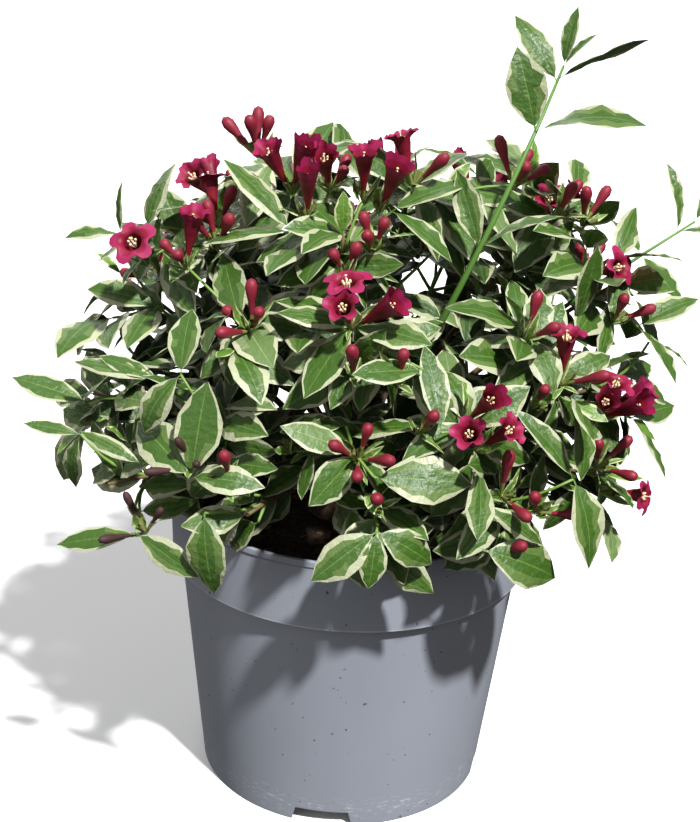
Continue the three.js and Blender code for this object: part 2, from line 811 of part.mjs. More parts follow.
const plant = new THREE.Group();
const wood = matt(FINISH.wood);
const youngShoot = matt(FINISH.youngShoot);
const foliage = matt(FINISH.foliage);

plant.add(meshFromSolid('pot', potSolid(), matt(FINISH.pot)));
plant.add(meshFromSolid('compost', compostSolid(), matt(FINISH.compost)));
const stool = turned(stoolProfile(0), STOOL.sides).translate([0, 0, stoolFoot]);
plant.add(meshFromSolid('stem', stool, wood));
MASSES.forEach((mass, i) => {
  plant.add(meshFromSolid(`${mass.name}_bough`, boughSolid(i), mass.whip ? youngShoot : wood));
  plant.add(meshFromSolid(mass.name, new Mass(mass, i).solid(), foliage));
});

// The frame's origin is the middle of the plant's footprint, on the ground
const box = new THREE.Box3().setFromObject(plant);
const middle = box.getCenter(new THREE.Vector3());
plant.position.set(-middle.x, -middle.y, 0);

export default plant;
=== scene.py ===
# %% [markdown]
# # A variegated weigela in its pot
#
# A weigela is a rounded shrub of many slender boughs. Its leaves stand in opposite pairs, green
# in the middle with a ragged cream margin, and its trumpet flowers sit in small trusses at the
# ends of short spurs. This lesson dresses a plain model of the plant: the pot and its filling are
# turned, the boughs are grown along their curves, and the leaves and flowers are a few carefully
# made shapes that are set out hundreds of times by a seeded rule.

import math
from collections import defaultdict, namedtuple
from math import atan2, ceil, cos, pi, radians, sin

import bmesh
import bpy
from mathutils import Matrix, Quaternion, Vector, noise


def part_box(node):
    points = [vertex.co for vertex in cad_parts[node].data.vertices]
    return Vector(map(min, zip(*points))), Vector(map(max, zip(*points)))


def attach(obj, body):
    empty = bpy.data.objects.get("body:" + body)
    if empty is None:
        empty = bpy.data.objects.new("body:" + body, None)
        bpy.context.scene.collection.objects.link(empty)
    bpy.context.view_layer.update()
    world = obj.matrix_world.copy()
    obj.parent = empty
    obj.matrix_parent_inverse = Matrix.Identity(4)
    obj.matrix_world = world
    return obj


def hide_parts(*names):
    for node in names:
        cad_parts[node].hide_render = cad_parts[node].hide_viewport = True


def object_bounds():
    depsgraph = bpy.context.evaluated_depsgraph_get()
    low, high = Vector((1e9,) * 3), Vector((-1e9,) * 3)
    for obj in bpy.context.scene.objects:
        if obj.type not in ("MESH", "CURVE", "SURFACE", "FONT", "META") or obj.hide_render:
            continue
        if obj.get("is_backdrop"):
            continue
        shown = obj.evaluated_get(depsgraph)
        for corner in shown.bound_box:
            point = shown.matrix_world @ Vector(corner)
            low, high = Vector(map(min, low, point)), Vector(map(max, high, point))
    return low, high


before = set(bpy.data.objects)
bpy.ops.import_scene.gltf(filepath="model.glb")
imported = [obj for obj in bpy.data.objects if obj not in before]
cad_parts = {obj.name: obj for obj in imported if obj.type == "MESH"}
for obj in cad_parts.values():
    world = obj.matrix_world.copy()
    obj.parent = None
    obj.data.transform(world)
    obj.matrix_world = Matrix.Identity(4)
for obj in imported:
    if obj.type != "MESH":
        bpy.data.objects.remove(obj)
cad_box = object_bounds()
print("nodes in the frame:", len(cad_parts))

# %% [markdown]
# ## Where the plant stands
#
# Everything is in metres, so sizes are written in millimetres times `MM`. The pot's box gives
# the axis that the whole plant is built round, and the box of the stem gives the rounded head
# that every bough leaves from.

# %% Measure the pot and the stem
MM = 0.001
SEAT_GAP = 0.3 * MM
HEAD_RADIUS = 25 * MM

pot_low, pot_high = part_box("pot")
compost_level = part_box("compost")[1].z
stem_low, stem_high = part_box("stem")
axis = (pot_low + pot_high) / 2
axis.z = 0
rim_radius = (pot_high.x - pot_low.x) / 2
head = Vector((axis.x, axis.y, stem_high.z - HEAD_RADIUS))
print("pot axis:", tuple(round(v, 4) for v in axis), "rim radius:", round(rim_radius, 4))

# %% [markdown]
# ## Helpers for materials
#
# A material here is the Principled shader with a few nodes before it. `add_node` makes a node,
# fills in its sockets and links those whose value is another node's output, and `add_value` gives
# the new node's first output. Colours are written as they look on a screen, from 0 to 255, and
# turned into the linear values that Blender mixes.

# %% Colours, nodes and node groups
def screen_colour(*channels):
    shares = [value / 255 for value in channels]
    linear = [s / 12.92 if s <= 0.04045 else ((s + 0.055) / 1.055) ** 2.4 for s in shares]
    return (*linear, 1)


def add_node(tree, kind, inputs=(), **settings):
    node = tree.nodes.new("ShaderNode" + kind)
    for name, value in settings.items():
        setattr(node, name, value)
    for socket, value in dict(inputs).items():
        if isinstance(value, bpy.types.NodeSocket):
            tree.links.new(value, node.inputs[socket])
        else:
            node.inputs[socket].default_value = value
    return node


def add_value(tree, kind, inputs=(), **settings):
    return add_node(tree, kind, inputs, **settings).outputs[0]


def multiply(tree, one, other):
    return add_value(tree, "Math", {0: one, 1: other}, operation="MULTIPLY")


def lay_over(tree, mask, below, above):
    """Mixes two colours: sockets 6 and 7 are the ones that the node keeps for colours."""
    return add_node(tree, "Mix", {"Factor": mask, 6: below, 7: above}, data_type="RGBA").outputs[2]


def new_material(name, colour, roughness, **sockets):
    material = bpy.data.materials.new(name)
    material.use_nodes = True
    shader = material.node_tree.nodes["Principled BSDF"]
    shader.inputs["Base Color"].default_value = screen_colour(*colour)
    shader.inputs["Roughness"].default_value = roughness
    for socket, value in sockets.items():
        shader.inputs[socket.replace("_", " ")].default_value = value
    return material


def use_group(tree, group, inputs):
    return add_value(tree, "Group", inputs, node_tree=group)


print("half of full brightness on a screen is", round(screen_colour(128)[0], 3), "in a shader")

# %% [markdown]
# ## Three shared effects
#
# Real surfaces are uneven in only a few ways, so three small node groups serve every material.
# `Uneven` gives a value that drifts between a low and a high one, for gloss and tone. `Specks`
# gives a mask of small marks, which can be stretched upwards into streaks. `Grain` gives heights
# for a bump. All of them are noise on the object's own coordinates, so the pattern stays where it
# is. `dress` then links a colour, a drifting gloss and a fine relief to a material's shader.

# %% Build the shared node groups
def pattern_group(name, output, inputs):
    group = bpy.data.node_groups.new(name, "ShaderNodeTree")
    for socket, value in {"Scale": 60, "Stretch": 1, **inputs}.items():
        made = group.interface.new_socket(socket, in_out="INPUT", socket_type="NodeSocketFloat")
        made.default_value = value
    group.interface.new_socket(output, in_out="OUTPUT", socket_type="NodeSocketFloat")
    entry = group.nodes.new("NodeGroupInput").outputs
    leave = group.nodes.new("NodeGroupOutput").inputs[output]
    place = add_node(group, "TexCoord").outputs["Object"]
    squeeze = add_value(group, "CombineXYZ", {"X": 1, "Y": 1, "Z": entry["Stretch"]})
    place = add_value(group, "VectorMath", {0: place, 1: squeeze}, operation="MULTIPLY")
    cloud = {"Vector": place, "Scale": entry["Scale"], "Detail": entry["Detail"]}
    return group, entry, leave, add_value(group, "TexNoise", cloud)


def build_uneven():
    """Nearly all of the noise lies between 0.3 and 0.7, which is drawn out to the two ends."""
    inputs = {"Detail": 3, "Low": 0.4, "High": 0.6}
    group, entry, leave, cloud = pattern_group("Uneven", "Value", inputs)
    spread = {"Value": cloud, "From Min": 0.3, "From Max": 0.7}
    spread.update({"To Min": entry["Low"], "To Max": entry["High"]})
    group.links.new(add_value(group, "MapRange", spread), leave)
    return group


def build_specks():
    inputs = {"Detail": 5, "Threshold": 0.62, "Softness": 0.04}
    group, entry, leave, cloud = pattern_group("Specks", "Mask", inputs)
    low = entry["Threshold"]
    high = add_value(group, "Math", {0: low, 1: entry["Softness"]}, operation="ADD")
    cut = {"Value": cloud, "From Min": low, "From Max": high}
    group.links.new(add_value(group, "MapRange", cut), leave)
    return group


def build_grain():
    group, _, leave, cloud = pattern_group("Grain", "Height", {"Detail": 4})
    group.links.new(cloud, leave)
    return group


uneven, specks, grain = build_uneven(), build_specks(), build_grain()
print("shared effects:", uneven.name, specks.name, grain.name)


# %% Dress a material with the shared effects
def dress(material, colour=None, gloss=None, relief=None):
    """`gloss` holds the inputs of Uneven, `relief` a scale, a detail, a strength and a depth."""
    tree = material.node_tree
    links = {}
    if colour is not None:
        links["Base Color"] = colour
    if gloss is not None:
        links["Roughness"] = use_group(tree, uneven, gloss)
    if relief is not None:
        scale, detail, strength, depth = relief
        height = use_group(tree, grain, {"Scale": scale, "Detail": detail})
        bump = {"Height": height, "Strength": strength, "Distance": depth}
        links["Normal"] = add_value(tree, "Bump", bump)
    for socket, value in links.items():
        tree.links.new(value, tree.nodes["Principled BSDF"].inputs[socket])
    return material


def earthy(name, dark, light, scale):
    """A dull, rough finish whose colour drifts from dark to light."""
    material = new_material(name, dark, 0.9)
    tree = material.node_tree
    tone = use_group(tree, uneven, {"Scale": scale, "Low": 0, "High": 1})
    colour = lay_over(tree, tone, screen_colour(*dark), screen_colour(*light))
    return dress(material, colour, relief=(2 * scale, 5, 0.6, 1.2 * MM))


print("helpers for materials are ready")

# %% [markdown]
# ## From a bmesh to a piece
#
# Each finished piece is one object at the origin, with its place in its mesh. It rides on the
# plant's only body, takes the materials it is given, and may stand for nodes of the plain model,
# which are then hidden.

# %% Turn a bmesh into a piece of the plant
BODY = "root"


def keep_shape(name, bm):
    mesh = bpy.data.meshes.new(name)
    bm.to_mesh(mesh)
    bm.free()
    return mesh


def add_object(name, data):
    made = bpy.data.objects.new(name, data)
    bpy.context.scene.collection.objects.link(made)
    return made


def finish_piece(name, bm, materials, nodes=(), smooth=True):
    for face in bm.faces:
        face.smooth = smooth
    mesh = keep_shape(name, bm)
    for material in materials:
        mesh.materials.append(material)
    piece = add_object(name, mesh)
    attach(piece, BODY)
    if nodes:
        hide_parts(*nodes)
    print(name, "has", len(mesh.polygons), "faces")
    return piece


# %% [markdown]
# ## The pot
#
# A nursery pot is moulded from thin plastic: a tapering body, a deep collar round the mouth, a
# thicker edge at the lip and a raised floor. It is round, so its section is spun about the axis.
# The section is a closed line of corners, and the corners are rounded by a bevel after the spin,
# which is simpler than drawing every small arc. Four drainage notches are cut in the skirt.

# %% Sizes of the pot
POT_HEIGHT = pot_high.z
RIM_BEAD = 4 * MM
BEAD_STEP = 0.8 * MM
BAND_FOOT_RADIUS = 112.8 * MM
BAND_HEIGHT = 45 * MM
BODY_TOP_RADIUS = 107.5 * MM
BASE_RADIUS = 91.5 * MM
WALL = 1.8 * MM
SKIRT_WALL = 2.6 * MM
FLOOR_UNDERSIDE = 11 * MM
FLOOR_THICKNESS = 2 * MM
SKIRT_LINE = 12 * MM
POT_STEPS = 96
WELD = 0.01 * MM

band_foot = POT_HEIGHT - BAND_HEIGHT
floor_top = FLOOR_UNDERSIDE + FLOOR_THICKNESS


def wall_radius(height):
    return BASE_RADIUS + (BODY_TOP_RADIUS - BASE_RADIUS) * height / band_foot


def mouth_radius(height):
    share = (height - band_foot) / BAND_HEIGHT
    lip = rim_radius - WALL - BEAD_STEP
    return BAND_FOOT_RADIUS - WALL + (lip - BAND_FOOT_RADIUS + WALL) * share


print("inside the lip the mouth is", round(2 * mouth_radius(POT_HEIGHT) / MM), "mm across")

# %% Spin the pot's section
def spin_section(section, steps):
    """Turns a line of [radius, height] corners about the plant's axis."""
    bm = bmesh.new()
    corners = [bm.verts.new((axis.x + radius, axis.y, height)) for radius, height in section]
    edges = [bm.edges.new(pair) for pair in zip(corners, corners[1:])]
    geometry = corners + edges
    turn = {"axis": (0, 0, 1), "cent": axis, "angle": 2 * pi, "steps": steps, "use_merge": True}
    bmesh.ops.spin(bm, geom=geometry, **turn)
    bmesh.ops.remove_doubles(bm, verts=bm.verts, dist=WELD)
    bmesh.ops.recalc_face_normals(bm, faces=bm.faces)
    return bm


def pot_section():
    skirt_inside = BASE_RADIUS - SKIRT_WALL
    outside = [
        (BASE_RADIUS, 0),
        (wall_radius(SKIRT_LINE), SKIRT_LINE),
        (BODY_TOP_RADIUS, band_foot - WALL),
        (BAND_FOOT_RADIUS, band_foot),
        (rim_radius - BEAD_STEP, POT_HEIGHT - RIM_BEAD - BEAD_STEP),
        (rim_radius, POT_HEIGHT - RIM_BEAD),
        (rim_radius, POT_HEIGHT),
    ]
    inside = [
        (mouth_radius(POT_HEIGHT), POT_HEIGHT),
        (BAND_FOOT_RADIUS - WALL, band_foot + WALL),
        (BODY_TOP_RADIUS - WALL, band_foot),
        (wall_radius(floor_top) - WALL, floor_top),
        (0, floor_top),
    ]
    underside = [(0, FLOOR_UNDERSIDE), (skirt_inside, FLOOR_UNDERSIDE), (skirt_inside, 0)]
    return underside + outside + inside


pot_mesh = spin_section(pot_section(), POT_STEPS)
print("the pot's faces before its edges are rounded:", len(pot_mesh.faces))

# %% Cut the notches and round the edges
NOTCH_COUNT = 4
NOTCH_AZIMUTH = -96
NOTCH_TOP_WIDTH = 33 * MM
NOTCH_FOOT_WIDTH = 42 * MM
NOTCH_HEIGHT = 9.5 * MM
NOTCH_DEPTH = 25 * MM
EDGE_ROUND = 0.55 * MM
SHARP = radians(28)


def notch_cutters():
    bm = bmesh.new()
    for k in range(NOTCH_COUNT):
        made = bmesh.ops.create_cube(bm, size=2)["verts"]
        for vert in made:
            width = NOTCH_TOP_WIDTH if vert.co.z > 0 else NOTCH_FOOT_WIDTH
            vert.co.y *= width / 2
            vert.co.x = BASE_RADIUS + vert.co.x * NOTCH_DEPTH / 2
            vert.co.z *= NOTCH_HEIGHT
        turn = Matrix.Rotation(radians(NOTCH_AZIMUTH + 360 * k / NOTCH_COUNT), 4, "Z")
        bmesh.ops.transform(bm, matrix=Matrix.Translation(axis) @ turn, verts=made)
    return bm


def cut_away(bm, cutters):
    """The difference of two closed shapes, made by a Boolean modifier and read back."""
    kept, cutter = (add_object("cut", keep_shape("cut", shape)) for shape in (bm, cutters))
    boolean = kept.modifiers.new("Notches", "BOOLEAN")
    boolean.object = cutter
    boolean.operation = "DIFFERENCE"
    result = bmesh.new()
    result.from_object(kept, bpy.context.evaluated_depsgraph_get())
    for part in (kept, cutter):
        bpy.data.objects.remove(part)
    return result


pot_mesh = cut_away(pot_mesh, notch_cutters())
sharp = [edge for edge in pot_mesh.edges if edge.is_manifold and edge.calc_face_angle() > SHARP]
rounding = {"offset": EDGE_ROUND, "segments": 2, "profile": 0.5, "affect": "EDGES", "material": -1}
bmesh.ops.bevel(pot_mesh, geom=sharp, clamp_overlap=True, **rounding)
print("the pot's faces with rounded edges:", len(pot_mesh.faces))

# %% [markdown]
# ## The pot's plastic
#
# Blue-grey plastic that has stood outside is never one even tone. The colour drifts a little,
# whitish scuffs gather just above the base, where the pot is dragged, and a few specks of soil
# have dried on. The scuffs are masked by height, so that they stay in their band. A thin band at
# the foot of the collar is painted pale in the scuffs' colour. It is partly wear and partly a
# painted highlight on the collar's rounded edge.

# %% Finish the pot
PLASTIC, PLASTIC_WORN = (143, 148, 158), (152, 156, 166)
SCUFF_AND_EDGE_HIGHLIGHT, SOIL = (205, 207, 210), (92, 80, 66)
SCUFF_BAND = (2 * MM, 23 * MM)
# The pale band at the collar's foot is partly wear and partly a painted highlight on its edge.
EDGE_HIGHLIGHT_AND_WEAR = (band_foot - 0.7 * MM, band_foot + 1.5 * MM)


def height_band(tree, low, high):
    """A mask that is full half-way between two heights and fades to nothing at both."""
    place = add_node(tree, "TexCoord").outputs["Object"]
    height = add_node(tree, "SeparateXYZ", {0: place}).outputs["Z"]
    share = add_value(tree, "MapRange", {"Value": height, "From Min": low, "From Max": high})
    return add_value(tree, "Math", {0: multiply(tree, share, pi)}, operation="SINE")


def plastic():
    material = new_material("Pot plastic", PLASTIC, 0.45)
    tree = material.node_tree
    tone = use_group(tree, uneven, {"Scale": 14, "Stretch": 0.4, "Low": 0, "High": 1})
    marks = use_group(tree, specks, {"Scale": 190, "Stretch": 3, "Threshold": 0.54, "Softness": 0.16})
    patchiness = use_group(tree, uneven, {"Scale": 60, "Low": 0.2, "High": 0.9})
    crumbs = use_group(tree, specks, {"Scale": 260, "Threshold": 0.705, "Softness": 0.01})
    scuffs = multiply(tree, multiply(tree, marks, patchiness), height_band(tree, *SCUFF_BAND))
    # Pale line along the collar's foot: partly wear, partly a painted highlight.
    edge = multiply(tree, patchiness, height_band(tree, *EDGE_HIGHLIGHT_AND_WEAR))
    colour = screen_colour(*PLASTIC)
    for mask, above in ((tone, PLASTIC_WORN), (scuffs, SCUFF_AND_EDGE_HIGHLIGHT), (edge, SCUFF_AND_EDGE_HIGHLIGHT), (crumbs, SOIL)):
        colour = lay_over(tree, mask, colour, screen_colour(*above))
    gloss = {"Scale": 45, "Stretch": 0.5, "Low": 0.36, "High": 0.52}
    return dress(material, colour, gloss, (900, 2, 0.12, 0.2 * MM))


pot = finish_piece("nursery_pot", pot_mesh, [plastic()], ["pot"])
even_light = pot.modifiers.new("Even light on flat faces", "WEIGHTED_NORMAL")
even_light.keep_sharp = True

# %% [markdown]
# ## The compost
#
# Potting compost is a dark, crumbly mix with bits of bark in it. Its body is spun like the pot.
# The top has enough rings to be pushed up and down by noise, and small chips of bark lie on it.

# %% Spin the compost and crumble its top
COMPOST_STEPS = 72
COMPOST_RINGS = 16
EDGE_DROP = 2.5 * MM
CRUMBLE = 2.4 * MM
CRUMBLE_SIZE = 9 * MM
FINE_LUMPS = 0.6

compost_radius = mouth_radius(compost_level) - SEAT_GAP


def compost_section():
    bottom = floor_top + SEAT_GAP
    inset = WALL + SEAT_GAP
    section = [(0, bottom), (wall_radius(bottom) - inset, bottom)]
    section += [(BODY_TOP_RADIUS - inset, band_foot), (BAND_FOOT_RADIUS - inset, band_foot + WALL)]
    for ring in range(COMPOST_RINGS + 1):
        share = 1 - ring / COMPOST_RINGS
        section.append((compost_radius * share, compost_level - CRUMBLE - EDGE_DROP * share**3))
    return section


compost_mesh = spin_section(compost_section(), COMPOST_STEPS)
top_of_wall = compost_level - 2 * CRUMBLE - EDGE_DROP
for vert in compost_mesh.verts:
    if vert.co.z > top_of_wall:
        lumps = noise.noise(vert.co / CRUMBLE_SIZE)
        lumps += FINE_LUMPS * noise.noise(3 * vert.co / CRUMBLE_SIZE)
        vert.co.z += CRUMBLE * lumps / (1 + FINE_LUMPS)
print("compost radius:", round(compost_radius / MM), "mm, top at", round(compost_level / MM), "mm")

# %% Lay chips of bark on the compost
CHIP_SEED = 911
CHIP_COUNT = 320
CHIP_LENGTH = (3 * MM, 11 * MM)
CHIP_WIDTH = (0.3, 0.6)
CHIP_THICKNESS = (0.12, 0.25)
CHIP_RING = (0.28, 0.95)
CHIP_TILT = 0.5
CHIP_SPLINTER = 0.16
CHIP_COLOURS = ((104, 76, 54), (72, 52, 38), (132, 104, 78))


def seeded_draw(seed):
    """Park and Miller's generator: the same numbers in every run."""
    factor, modulus = 16807, 2147483647
    state = seed

    def draw(low, high):
        nonlocal state
        state = state * factor % modulus
        return low + (high - low) * state / modulus
    return draw


def pick(draw, things):
    return things[int(draw(0, len(things) - 0.001))]


def bark_chips():
    """`noise_vector` shifts its noise by an offset that is random in each run unless it is seeded."""
    noise.seed_set(CHIP_SEED)
    draw = seeded_draw(CHIP_SEED)
    nearest, furthest = CHIP_RING
    bm = bmesh.new()
    for k in range(CHIP_COUNT):
        azimuth = draw(0, 2 * pi)
        radius = compost_radius * draw(nearest**2, furthest**2) ** 0.5
        length = draw(*CHIP_LENGTH)
        size = Matrix.Diagonal((length, length * draw(*CHIP_WIDTH), length * draw(*CHIP_THICKNESS), 1))
        spot = axis + Vector((cos(azimuth) * radius, sin(azimuth) * radius, compost_level - CRUMBLE))
        turn = Matrix.Rotation(draw(0, 2 * pi), 4, "Z")
        turn = turn @ Matrix.Rotation(draw(-CHIP_TILT, CHIP_TILT), 4, "X")
        made = bmesh.ops.create_cube(bm, size=1, matrix=Matrix.Translation(spot) @ turn @ size)["verts"]
        for vert in made:
            vert.co += length * CHIP_SPLINTER * noise.noise_vector(vert.co / MM)
        for face in {face for vert in made for face in vert.link_faces}:
            face.material_index = k % len(CHIP_COLOURS)
    return bm


soil = earthy("Compost", (38, 28, 22), (78, 60, 46), 260)
chips = [new_material("Bark chip", colour, 0.85) for colour in CHIP_COLOURS]
finish_piece("compost_fill", compost_mesh, [soil], ["compost"])
finish_piece("bark_chips", bark_chips(), chips, smooth=False)

# %% [markdown]
# ## The rule that the crown grows by
#
# Each mass of the crown is named by the way and the distance from the head to its tip. A bough
# leaves the head in a direction of its own, bends half-way, and ends at that tip, so its route
# is a curve of three points. The first directions are pushed apart until no two boughs crowd
# each other. The leafy part begins a little over a third of the way along.

# %% List the masses
Mass = namedtuple("Mass", "name spray azimuth lift reach spread")
MASSES = [
    Mass("tall_shoot", "whips", -11, 68, 289, 0),
    Mass("crown_top", "top", -157, 77, 210, 44),
    Mass("top_centre", "top", -50, 79, 213, 42),
    Mass("top_left", "top", -172, 57, 204, 46),
    Mass("centre_upper", "top", -98, 65, 202, 42),
    Mass("top_right", "top", 12, 55, 224, 48),
    Mass("right_upper", "right", -7, 43, 219, 50),
    Mass("side_shoot", "whips", 8, 40, 264, 0),
    Mass("right", "right", -12, 28, 188, 44),
    Mass("right_middle", "right", -40, 40, 187, 44),
    Mass("right_low", "right", -24, 14, 166, 44),
    Mass("front_right", "right", -64, 32, 176, 42),
    Mass("front_right_low", "right", -54, 14, 157, 42),
    Mass("front_upper", "front", -92, 50, 192, 42),
    Mass("front", "front", -90, 29, 170, 42),
    Mass("front_low", "front", -84, 15, 150, 42),
    Mass("front_left", "front", -121, 28, 172, 44),
    Mass("front_left_low", "front", -113, 14, 150, 42),
    Mass("front_left_upper", "front", -124, 49, 190, 44),
    Mass("left_low", "left", -148, 10, 168, 44),
    Mass("left", "left", -166, 22, 174, 48),
    Mass("left_upper", "left", -177, 42, 194, 46),
    Mass("back_left", "back", 162, 13, 164, 50),
    Mass("back_low", "back", 120, 14, 160, 50),
    Mass("back", "back", 78, 14, 158, 50),
    Mass("back_right", "back", 34, 15, 164, 50),
    Mass("back_upper_left", "back", 126, 44, 188, 54),
    Mass("back_upper_right", "back", 62, 44, 188, 54),
]
SPRAYS = sorted({mass.spray for mass in MASSES})
print("masses:", len(MASSES), "in the sprays", SPRAYS)

# %% Directions and curves
UP = Vector((0, 0, 1))
STEEP = 0.8


def direction(azimuth, lift):
    a, e = radians(azimuth), radians(lift)
    return Vector((cos(e) * cos(a), cos(e) * sin(a), sin(e)))


def square_to(way, angle):
    """A unit vector square to `way`, turned about it by `angle` degrees."""
    reference = Vector((1, 0, 0)) if abs(way.z) > STEEP else UP
    return Quaternion(way, radians(angle)) @ reference.cross(way).normalized()


def leaning(way, tilt, angle):
    """A unit vector that leans away from `way` by `tilt` degrees, to the side that `angle` gives."""
    lean = radians(tilt)
    return way * cos(lean) + square_to(way, angle) * sin(lean)


def aim(line, forward="Z", upper="Y"):
    """The turn that points one of a shape's axes along a line."""
    return line.to_track_quat(forward, upper).to_matrix().to_4x4()


class Route:
    """A curve from a foot to a tip, drawn towards an elbow between them."""

    def __init__(self, foot, elbow, tip):
        self.foot, self.elbow, self.tip = foot, elbow, tip

    def point(self, t):
        return (1 - t) ** 2 * self.foot + 2 * t * (1 - t) * self.elbow + t**2 * self.tip

    def way(self, t):
        slope = (1 - t) * (self.elbow - self.foot) + t * (self.tip - self.elbow)
        return slope.normalized()

    def stretch(self, begin, end, steps):
        return [self.point(begin + (end - begin) * k / steps) for k in range(steps + 1)]


print("straight up is", tuple(round(v, 3) for v in direction(0, 90)))

# %% Push the boughs apart and draw their routes
START_LIFT = 14
LIFT_KEPT = 0.84
ELBOW = 0.5
LEANING = {"tall_shoot": (-61, 51, 0.84)}
MASS_START = {"tall_shoot": 0.5, "side_shoot": 0.84}
BUSHY_START = 0.38
START_SPACING = 16
SPACING_ROUNDS = 80


def leaning_of(mass):
    """The azimuth and the lift that a bough sets out with, and how far out it bends."""
    usual = (mass.azimuth, START_LIFT + LIFT_KEPT * mass.lift, ELBOW)
    return LEANING.get(mass.name, usual)


def bough_starts():
    starts = [direction(*leaning_of(mass)[:2]) for mass in MASSES]
    nearest = 2 * sin(radians(START_SPACING) / 2)
    for _ in range(SPACING_ROUNDS):
        for i, one in enumerate(starts):
            for j in range(i + 1, len(starts)):
                apart = starts[j] - starts[i]
                short = nearest - apart.length
                if short > 0:
                    push = apart.normalized() * short / 2
                    starts[i] = (starts[i] - push).normalized()
                    starts[j] = (starts[j] + push).normalized()
    return starts


def bough_routes():
    routes = []
    for mass, start in zip(MASSES, bough_starts()):
        reach = mass.reach * MM
        bend = leaning_of(mass)[2]
        foot = head + start * (HEAD_RADIUS + SEAT_GAP)
        tip = head + direction(mass.azimuth, mass.lift) * reach
        routes.append(Route(foot, head + start * reach * bend, tip))
    return routes


routes = bough_routes()
begins = [MASS_START.get(mass.name, BUSHY_START) for mass in MASSES]
longest = max((route.tip - route.foot).length for route in routes)
print("longest bough:", round(longest / MM), "mm from foot to tip")

# %% [markdown]
# ## Each mass keeps to its own space
#
# Round the middle of each leafy stem lies a ball of leaves. Where two balls meet, the border
# between the two masses is the flat plane through their meeting. A shoot that would cross it is
# made shorter. The pot takes room of its own, which nothing may grow into.

# %% Borders between the masses, and the room of the pot
MASS_MIDDLE = 0.64
BUSHY_RADIUS = 50 * MM
WHIP_RADIUS = 22 * MM
POT_CLEARANCE = 1.5 * MM

sites = [route.point(begin + (1 - begin) * MASS_MIDDLE) for route, begin in zip(routes, begins)]
radii = [BUSHY_RADIUS if mass.spread else WHIP_RADIUS for mass in MASSES]


def past_border(point, i):
    """How far a point lies past the nearest border of mass `i`."""
    past = []
    for j, other in enumerate(sites):
        if j != i:
            apart = other - sites[i]
            border = (apart.length + (radii[i] ** 2 - radii[j] ** 2) / apart.length) / 2
            past.append((point - sites[i]).dot(apart) / apart.length - border)
    return max(past)


def in_the_pot(point):
    from_axis = (point - axis).xy.length
    if point.z > POT_HEIGHT + POT_CLEARANCE or from_axis > rim_radius + POT_CLEARANCE:
        return False
    over_filling = point.z > compost_level + POT_CLEARANCE
    return not (over_filling and from_axis < mouth_radius(POT_HEIGHT) - POT_CLEARANCE)


print("middle of the first mass:", tuple(round(v, 3) for v in sites[0]))

# %% [markdown]
# ## Limbs
#
# A limb is a tube that tapers along a curve. It starts as a circle. Its rim is extruded again
# and again, and each new rim is carried to the next point of the curve, turned with it and made
# a little smaller. A flat face closes each end.

# %% Grow a limb along a line of points
def ways_along(points):
    last = len(points) - 1
    return [(points[min(k + 1, last)] - points[max(k - 1, 0)]).normalized() for k in range(last + 1)]


def split_made(made):
    """The edges and the corners among the parts that an extrusion made."""
    kinds = (bmesh.types.BMEdge, bmesh.types.BMVert)
    return [[part for part in made if isinstance(part, kind)] for kind in kinds]


def grow_limb(points, foot_radius, tip_radius, sides):
    ways = ways_along(points)
    lie = Matrix.Translation(points[0]) @ aim(ways[0])
    bm = bmesh.new()
    bmesh.ops.create_circle(bm, cap_ends=True, segments=sides, radius=foot_radius, matrix=lie)
    rim = bm.edges[:]
    last = len(points) - 1
    radii_along = [foot_radius + (tip_radius - foot_radius) * k / last for k in range(last + 1)]
    for k in range(1, last + 1):
        rim, corners = split_made(bmesh.ops.extrude_edge_only(bm, edges=rim)["geom"])
        turn = ways[k - 1].rotation_difference(ways[k]).to_matrix().to_4x4()
        taper = Matrix.Scale(radii_along[k] / radii_along[k - 1], 4)
        move = Matrix.Translation(points[k]) @ turn @ taper @ Matrix.Translation(-points[k - 1])
        bmesh.ops.transform(bm, matrix=move, verts=corners)
    bmesh.ops.holes_fill(bm, edges=rim)
    bmesh.ops.recalc_face_normals(bm, faces=bm.faces)
    return bm


class Heap:
    """Many small shapes joined into one bmesh."""

    def __init__(self):
        self.bm = bmesh.new()
        self.scratch = bpy.data.meshes.new("scratch")

    def add(self, bm, material_index=0):
        for face in bm.faces:
            face.material_index = material_index
        bm.to_mesh(self.scratch)
        bm.free()
        self.bm.from_mesh(self.scratch)

    def add_copy(self, shape, matrix):
        copy = shape.copy()
        copy.transform(matrix)
        self.bm.from_mesh(copy)
        bpy.data.meshes.remove(copy)


print("helpers for limbs are ready")

# %% [markdown]
# ## The stool and the boughs
#
# At the foot of an old shrub the boughs crowd out of one knobbly stool. Bark on it is thin and
# ridged. The ridges here are real relief: each corner of the mesh is moved along its normal by
# noise that is squeezed round the limb and drawn out along it.

# %% Ridge the bark
BARK_SIDES = 12
RIDGE = 0.35 * MM
RIDGE_WIDTH = 1.6 * MM
RIDGE_LENGTH = 14 * MM


def ridge(bm, way):
    """Moves corners along their normals by noise that is drawn out along `way`."""
    bm.normal_update()
    squeeze = Matrix.Scale(RIDGE_WIDTH / RIDGE_LENGTH, 3, way)
    for vert in bm.verts:
        vert.co += vert.normal * RIDGE * noise.noise(squeeze @ vert.co / RIDGE_WIDTH)


stem_bark = earthy("Thin bark", (74, 58, 42), (128, 108, 82), 320)
print("bark ridges:", RIDGE / MM, "mm high and", RIDGE_WIDTH / MM, "mm apart")

# %% Grow the stool and the boughs
BOUGH_FOOT = 2.7 * MM
BOUGH_TIP = 1.9 * MM
BOUGH_STEPS = 18
FLARE_RADIUS = 31 * MM
FLARE_HEIGHT = 3 * MM
NECK_RADIUS = 25.5 * MM
STOOL_ARC = 12
LOWEST_LIFT = -25
KNOBS = 1.6 * MM
KNOB_SIZE = 7 * MM
STOOL_STEPS = 48


